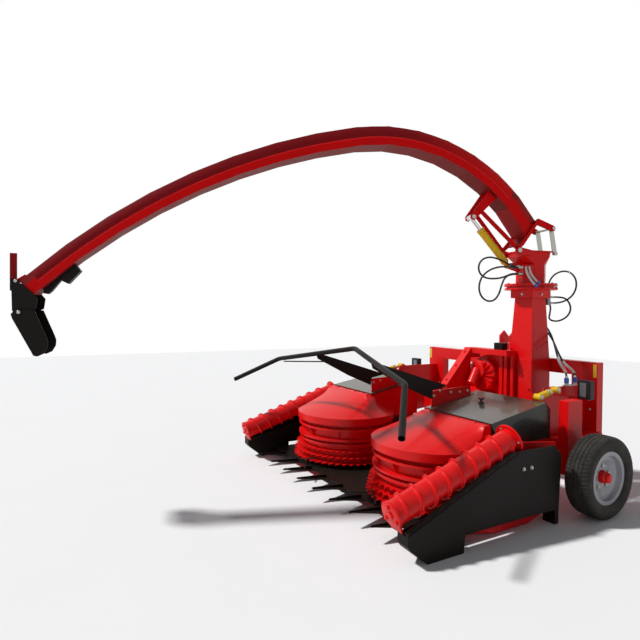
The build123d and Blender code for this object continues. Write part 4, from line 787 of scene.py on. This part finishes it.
            # The bolts of the slewing ring's upper half turn with the spout
            shape.finish(name, finish, "spout_turret" if name == "ring_bolts" else "frame")
        for name, body, ahead, height, half, radius in self.PINS:
            shape = Shape()
            for s in (-1, 1):
                shape.turned(spout_at(ahead, s * half, height), s * SPOUT_SIDE,
                             self.PIN_HEAD * (radius, 1), 28)
            shape.finish(name, "zinc plated steel", body, smooth=35)
        return {"FINISHED"}


class HARVESTER_OT_spout_seams(bpy.types.Operator):
    """Painted shade: dark red sheets laid over the upper sides of the spout, and the folded seams along their
    lower edges
    """
    bl_idname = "harvester.spout_seams"
    bl_label = "Spout seams"

    # Middle line in millimetres and degrees: its start and heading, then radius, sweep and steps of two arcs
    START, HEAD = (84, 2250), 55.6
    ARCS = ((1563, 67.4, 56), (4926, 31.6, 64))
    # Half width and half height at the duct's start and at its mouth, which is MOUTH_GAP past the arcs
    HALF_WIDTH, HALF_HEIGHT, MOUTH_GAP = (100, 90), (86, 66), 50
    # The sheets begin this far along the arcs and stop this far before their end
    FIRST_RUN, LAST_GAP = 300, 5
    # Shares of the half width and half height: top corner, widest line, seam
    TOP_SHARE, SIDE_SHARE, SEAM_SHARE = 0.72, 0.2, -0.25
    # The sheet stands out from the duct and laps into it; the bead's points are out and up of its edge
    SHEET_OUT, LAP = 1.6, 1
    BEAD = ((-1, 7), (4.5, 4), (5.5, 0), (4.5, -4), (-1, -7))

    def stations(self):
        """Rows of ahead, height, heading and length run, stepped along the chords of both arcs."""
        rows = [(*self.START, self.HEAD, 0.0)]
        for radius, sweep, steps in self.ARCS:
            turn = sweep / steps
            chord = 2 * radius * math.sin(math.radians(turn / 2))
            for _ in range(steps):
                ahead, height, angle, run = rows[-1]
                middle = math.radians(angle - turn / 2)
                rows.append((ahead + chord * math.cos(middle), height + chord * math.sin(middle),
                             angle - turn, run + radius * math.radians(turn)))
        return np.array(rows)

    def execute(self, context):
        """Profiles (out, up) carried along the duct, which narrows evenly to its mouth."""
        rows = self.stations()
        share = rows[:, 3] / (rows[-1, 3] + self.MOUTH_GAP)
        half_w = np.interp(share, (0, 1), self.HALF_WIDTH)
        half_h = np.interp(share, (0, 1), self.HALF_HEIGHT)
        keep = (rows[:, 3] > self.FIRST_RUN) & (rows[:, 3] < rows[-1, 3] - self.LAST_GAP)
        sheets, seams = Shape(), Shape()
        for s in (-1, 1):
            sheet_rings, seam_rings = [], []
            for (ahead, height, angle, _), w, h in zip(rows[keep], half_w[keep], half_h[keep]):
                top, side, seam = self.TOP_SHARE * w, self.SIDE_SHARE * h, self.SEAM_SHARE * h
                skin, lap = w + self.SHEET_OUT, w - self.LAP
                sheet = [(top - 3, h - 5), (top + 3, h - 5), (skin, side), (skin, seam), (lap, seam),
                         (lap, side)]
                bead = [(w + out, seam + up) for out, up in self.BEAD]
                turn = math.radians(angle)
                for rings, profile in ((sheet_rings, sheet), (seam_rings, bead)):
                    rings.append([spout_at(ahead - up * math.sin(turn), s * out, height + up * math.cos(turn))
                                  for out, up in profile])
            sheets.grid(np.array(sheet_rings), closed_cols=True, caps=True, flip=s < 0)
            seams.grid(np.array(seam_rings), closed_cols=True, caps=True, flip=s < 0)
        # The sheets carry painted shade over the spout's upper sides; the seams are the common red
        sheets.finish("spout_shade_sheets", "painted shade red", "spout", smooth=30)
        seams.finish("spout_seams", "enamel red", "spout", smooth=30)
        return {"FINISHED"}


class HARVESTER_OT_side_trim(bpy.types.Operator):
    """Folded lips along the sloping edges of the side panels, and the round caps on the augers' noses"""
    bl_idname = "harvester.side_trim"
    bl_label = "Side trim"

    PANEL_X = 1.286
    # Both ends of a lip, how far it reaches inwards across the panel, and its wall
    LIP_ENDS = ((-0.227, 0.199), (0.700, 0.557))
    LIP_WIDTH, LIP_FALL, LIP_WALL = 0.032, (-0.0043, 0.0112), np.array((0, 0.0014, -0.0037))
    # Distance in front of the tube, profile of radius and height, and steps round
    NOSE_PARTS = ((0.0170, ((0.060, 0), (0.0835, 0.0), (0.0845, 0.001), (0.0845, 0.0045), (0.083, 0.0055),
                            (0.030, 0.0055), (0.028, 0.004)), 56),
                  (0.0205, ((0.022, 0), (0.022, 0.010), (0.019, 0.013), (0.008, 0.013)), 32))

    def execute(self, context):
        lips, caps = Shape(), Shape()
        line = basis(AUGER_SLOPE)[0]
        for s in (-1, 1):
            ends = []
            for y, z in self.LIP_ENDS:
                outer = np.array((s * self.PANEL_X, y, z))
                inner = outer + np.array((-s * self.LIP_WIDTH, *self.LIP_FALL))
                ends.append([outer, inner, inner + self.LIP_WALL, outer + self.LIP_WALL * (1, 1, 2)])
            lips.grid(np.array(ends), closed_cols=True, caps=True, flip=s > 0)
            for ahead, profile, steps in self.NOSE_PARTS:
                caps.turned(AUGER_FRONT * (s, 1, 1) - line * ahead, -line, profile, steps)
        lips.finish("panel_lips", "enamel black", bevel=0.0008)
        caps.finish("auger_nose_caps", "enamel red", smooth=35)
        return {"FINISHED"}


class HARVESTER_OT_gearbox_ribs(bpy.types.Operator):
    """Ribs on the front of the round gear housing, from its elbow's disc to its rim, and its bolted flange"""
    bl_idname = "harvester.gearbox_ribs"
    bl_label = "Ribs of the gear housing"

    # Middle of the housing and of the elbow's disc in x and z
    HOUSING = np.array((0.090, 0.880))
    DISC, DISC_R = np.array((0.060, 0.930)), 0.085
    # Ribs begin at the least at FIRST_R and are left out from LAST_R on; each stands ASIDE of its direction
    COUNT, FIRST_R, LAST_R = 16, 0.050, 0.110
    WALL, ASIDE = 0.006, 0.003
    # Outline of a rib in radius and y: the two points of its foot, then the others
    FOOT_Y = (1.6462, 1.6290)
    RIB = ((0.130, 1.6290), (0.1495, 1.6480), (0.1495, 1.6600), (0.1385, 1.6462))
    FLANGE_Y = 1.7294
    FLANGE = ((0.151, 0), (0.169, 0), (0.169, 0.006), (0.167, 0.008), (0.151, 0.008))

    def execute(self, context):
        """A rib starts where its direction leaves the disc, and is left out where that is near the rim."""
        ribs = Shape()
        reach = np.linspace(0.0, 0.13, 131)
        for x, z in bolt_circle(self.COUNT, 1.0, 0.0):
            away = np.linalg.norm(self.HOUSING + reach[:, None] * (x, z) - self.DISC, axis=1)
            foot = max(self.FIRST_R, reach[away < self.DISC_R + 0.002].max(initial=0.0))
            if foot < self.LAST_R:
                origin = (self.HOUSING[0] - z * self.ASIDE, 0, self.HOUSING[1] + x * self.ASIDE)
                outline = [*((foot, y) for y in self.FOOT_Y), *self.RIB]
                ribs.prism(outline, origin, (x, 0, z), (0, 1, 0), self.WALL)
        ribs.turned((self.HOUSING[0], self.FLANGE_Y, self.HOUSING[1]), (0, -1, 0), self.FLANGE, 64)
        ribs.finish("gearbox_fins", "enamel red")
        return {"FINISHED"}


class HARVESTER_OT_tower_skirt(bpy.types.Operator):
    """Skirt of four plates round the tower's top, under the slewing ring"""
    bl_idname = "harvester.tower_skirt"
    bl_label = "Tower skirt"

    HALF_X, HALF_Y, WALL = 0.118, 0.120, 0.008
    LOW, HIGH = 1.616, 1.6898

    def execute(self, context):
        skirt = Shape()
        x, y = TURRET[:2]
        half_x, half_y, wall = self.HALF_X, self.HALF_Y, self.WALL
        for s in (-1, 1):
            for pair in (((x - half_x, y + s * half_y), (x + half_x, y + s * (half_y - wall))),
                         ((x + s * half_x, y - half_y + wall), (x + s * (half_x - wall), y + half_y - wall))):
                low, high = np.sort(np.array(pair), axis=0)
                skirt.block((*low, self.LOW), (*high, self.HIGH))
        skirt.finish("tower_skirt", "enamel red")
        return {"FINISHED"}


class HARVESTER_OT_ram_fittings(bpy.types.Operator):
    """Collars and ports of the lift ram, gland nuts and pin heads of the short rams"""
    bl_idname = "harvester.ram_fittings"
    bl_label = "Ram fittings"

    # Foot and eye of the lift ram: ahead, left and height in millimetres
    FOOT, EYE = (238, 0, 1902), (621, 0, 2315)
    # Profiles of radius and reach along the ram; the ports stand out from its side at two places
    COLLARS = (((0.0315, 0.046), (0.0345, 0.048), (0.0345, 0.060), (0.0315, 0.062)),
               ((0.0315, 0.398), (0.0350, 0.400), (0.0350, 0.424), (0.0335, 0.426)))
    PORTS, PORT = (0.080, 0.385), ((0.010, 0.028), (0.010, 0.044), (0.0085, 0.046))
    # Front and back pin of a short ram
    SHORT_FRONT, SHORT_BACK = (0.970, 1.312, 0.829), (0.970, 1.520, 0.872)
    GLAND = ((0.0275, 0.112), (0.0310, 0.114), (0.0310, 0.129), (0.0290, 0.131))
    PIN_HEAD = ((0.020, 0.029), (0.020, 0.034), (0.017, 0.036))

    def execute(self, context):
        collars, glands = Shape(), Shape()
        start = spout_at(*self.FOOT)
        ram = basis(spout_at(*self.EYE) - start)[0]
        for profile in self.COLLARS:
            collars.turned(start, ram, profile, 40)
        for reach in self.PORTS:
            collars.turned(start + ram * reach, -SPOUT_SIDE, self.PORT, 20)
        collars.finish("ram_collars", "enamel yellow", "lift_barrel", smooth=35)
        for s in (-1, 1):
            front, back = (np.array(pin) * (s, 1, 1) for pin in (self.SHORT_FRONT, self.SHORT_BACK))
            glands.turned(front, basis(back - front)[0], self.GLAND, 32)
            for pin in (front, back):
                glands.turned(pin, (s, 0, 0), self.PIN_HEAD, 24)
        glands.finish("short_ram_glands", "zinc plated steel", smooth=35)
        return {"FINISHED"}


class HARVESTER_OT_lamp_lenses(bpy.types.Operator):
    """Lamp lenses, pale to the front, red and amber to the rear, and the reflector strips on the legs"""
    bl_idname = "harvester.lamp_lenses"
    bl_label = "Lamp lenses"

    # Columns: name, finish, low and high corner on the right side, rounding of the edges
    ROWS = (("lamp_fronts", "clear lens", (1.004, 1.776, 0.806), (1.058, 1.780, 0.920), 0.0015),
            ("lamp_red", "red lens", (0.993, 1.830, 0.842), (1.087, 1.834, 0.930), 0.0015),
            ("lamp_amber", "amber lens", (0.993, 1.830, 0.796), (1.087, 1.834, 0.838), 0.0015),
            ("leg_reflectors", "yellow film", (0.984, 1.9888, 0.945), (1.012, 1.990, 1.055), 0.0))

    def execute(self, context):
        for name, finish, low, high, edge in self.ROWS:
            lens = Shape()
            for s in (-1, 1):
                lens.block(*np.sort(np.array((low, high)) * (s, 1, 1), axis=0))
            lens.finish(name, finish, bevel=edge)
        return {"FINISHED"}


class HARVESTER_OT_dust_caps(bpy.types.Operator):
    """Blue dust caps on the parked couplings, and the two capped hose tails that hang on the turret"""
    bl_idname = "harvester.dust_caps"
    bl_label = "Dust caps and tails"

    COUPLINGS = ((0.908, 1.747, 0.902), (0.908, 1.858, 0.902))
    CAP = ((0.0155, 0), (0.0185, 0.001), (0.0185, 0.034), (0.0165, 0.044), (0.0125, 0.046))
    TAIL_CAP = ((0.010, -0.006), (0.0135, -0.004), (0.0135, 0.016), (0.011, 0.018))
    TAIL_R = 0.0095
    # Millimetres: the tails' top ahead and up, their fall, run back, bow ahead and swing to the right
    TOP_AHEAD, TOP_UP, FALL, BACK, BOW, SWING = 150, 1888, 166, 36, 14, 84
    # Place of a tail's top to the left of the spout, and how much shorter and further back the tail hangs
    TAILS = ((-133, 0), (-137, 26))

    def execute(self, context):
        """A tail falls evenly, bows ahead by half a sine wave and swings out faster as it falls."""
        caps, tails, ends = Shape(), Shape(), Shape()
        for place in self.COUPLINGS:
            caps.turned(place, UP, self.CAP, 28)
        for left, lean in self.TAILS:
            top = self.TOP_AHEAD - lean * 1.2
            path = np.array([spout_at(top + self.BOW * math.sin(math.pi * share) - self.BACK * share,
                                      left - (self.SWING - lean / 2) * share ** 1.5,
                                      self.TOP_UP - (self.FALL - lean) * share)
                             for share in np.linspace(0, 1, 14)])
            tails.tube(path, self.TAIL_R, 14)
            ends.turned(path[-1], path[-1] - path[-2], self.TAIL_CAP, 24)
        caps.finish("coupling_caps", "blue plastic cap", smooth=35)
        tails.finish("turret_tails", "white sleeve", "spout_turret", smooth=50)
        ends.finish("turret_tail_caps", "blue plastic cap", "spout_turret", smooth=35)
        return {"FINISHED"}


class HARVESTER_OT_guide_bars(bpy.types.Operator):
    """Guide bars: thin black rods from under the drums to the table and the nose"""
    bl_idname = "harvester.guide_bars"
    bl_label = "Guide bars"

    # Both ends of each rod on the right side, in millimetres
    RODS = (((585, 160, 160), (800, 146, 160)),
            ((440, 120, 150), (607, 40, 100)),
            ((484, 60, 145), (300, -60, 112)))
    RADIUS = 0.006

    def execute(self, context):
        bars = Shape()
        for s in (-1, 1):
            for rod in self.RODS:
                start, end = np.array(rod) / 1000 * (s, 1, 1)
                bars.tube(np.linspace(start, end, 3), self.RADIUS, 10)
        bars.finish("guide_bars", "enamel black", smooth=40)
        return {"FINISHED"}


class HARVESTER_PT_panel(bpy.types.Panel):
    """Sidebar list of the machine's pieces"""
    bl_idname = "HARVESTER_PT_panel"
    bl_label = "Forage harvester"
    bl_space_type = "VIEW_3D"
    bl_region_type = "UI"
    bl_category = "Harvester"

    def draw(self, context):
        for group in (context.scene.harvester_sizes, context.scene.harvester_colours):
            for key in group.__annotations__:
                self.layout.prop(group, key)
        for operator in OPERATORS:
            self.layout.operator(operator.bl_idname)


OPERATORS = (HARVESTER_OT_stage, HARVESTER_OT_hoses, HARVESTER_OT_node_finish, HARVESTER_OT_tyres,
             HARVESTER_OT_wheel_fittings, HARVESTER_OT_augers, HARVESTER_OT_bolts, HARVESTER_OT_spout_seams,
             HARVESTER_OT_side_trim, HARVESTER_OT_gearbox_ribs, HARVESTER_OT_tower_skirt,
             HARVESTER_OT_ram_fittings, HARVESTER_OT_lamp_lenses, HARVESTER_OT_dust_caps,
             HARVESTER_OT_guide_bars)
CLASSES = (HarvesterSizes, HarvesterColours, *OPERATORS, HARVESTER_PT_panel)


def register():
    """Adds the classes, and the groups of sizes and colours to the scene."""
    for item in CLASSES:
        bpy.utils.register_class(item)
    bpy.types.Scene.harvester_sizes = PointerProperty(type=HarvesterSizes)
    bpy.types.Scene.harvester_colours = PointerProperty(type=HarvesterColours)


def unregister():
    """Removes the groups and classes again."""
    del bpy.types.Scene.harvester_colours
    del bpy.types.Scene.harvester_sizes
    for item in reversed(CLASSES):
        bpy.utils.unregister_class(item)


def main():
    """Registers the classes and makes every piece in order."""
    register()
    for operator in OPERATORS:
        group, name = operator.bl_idname.split(".")
        getattr(getattr(bpy.ops, group), name)()


if __name__ == "__main__":
    main()
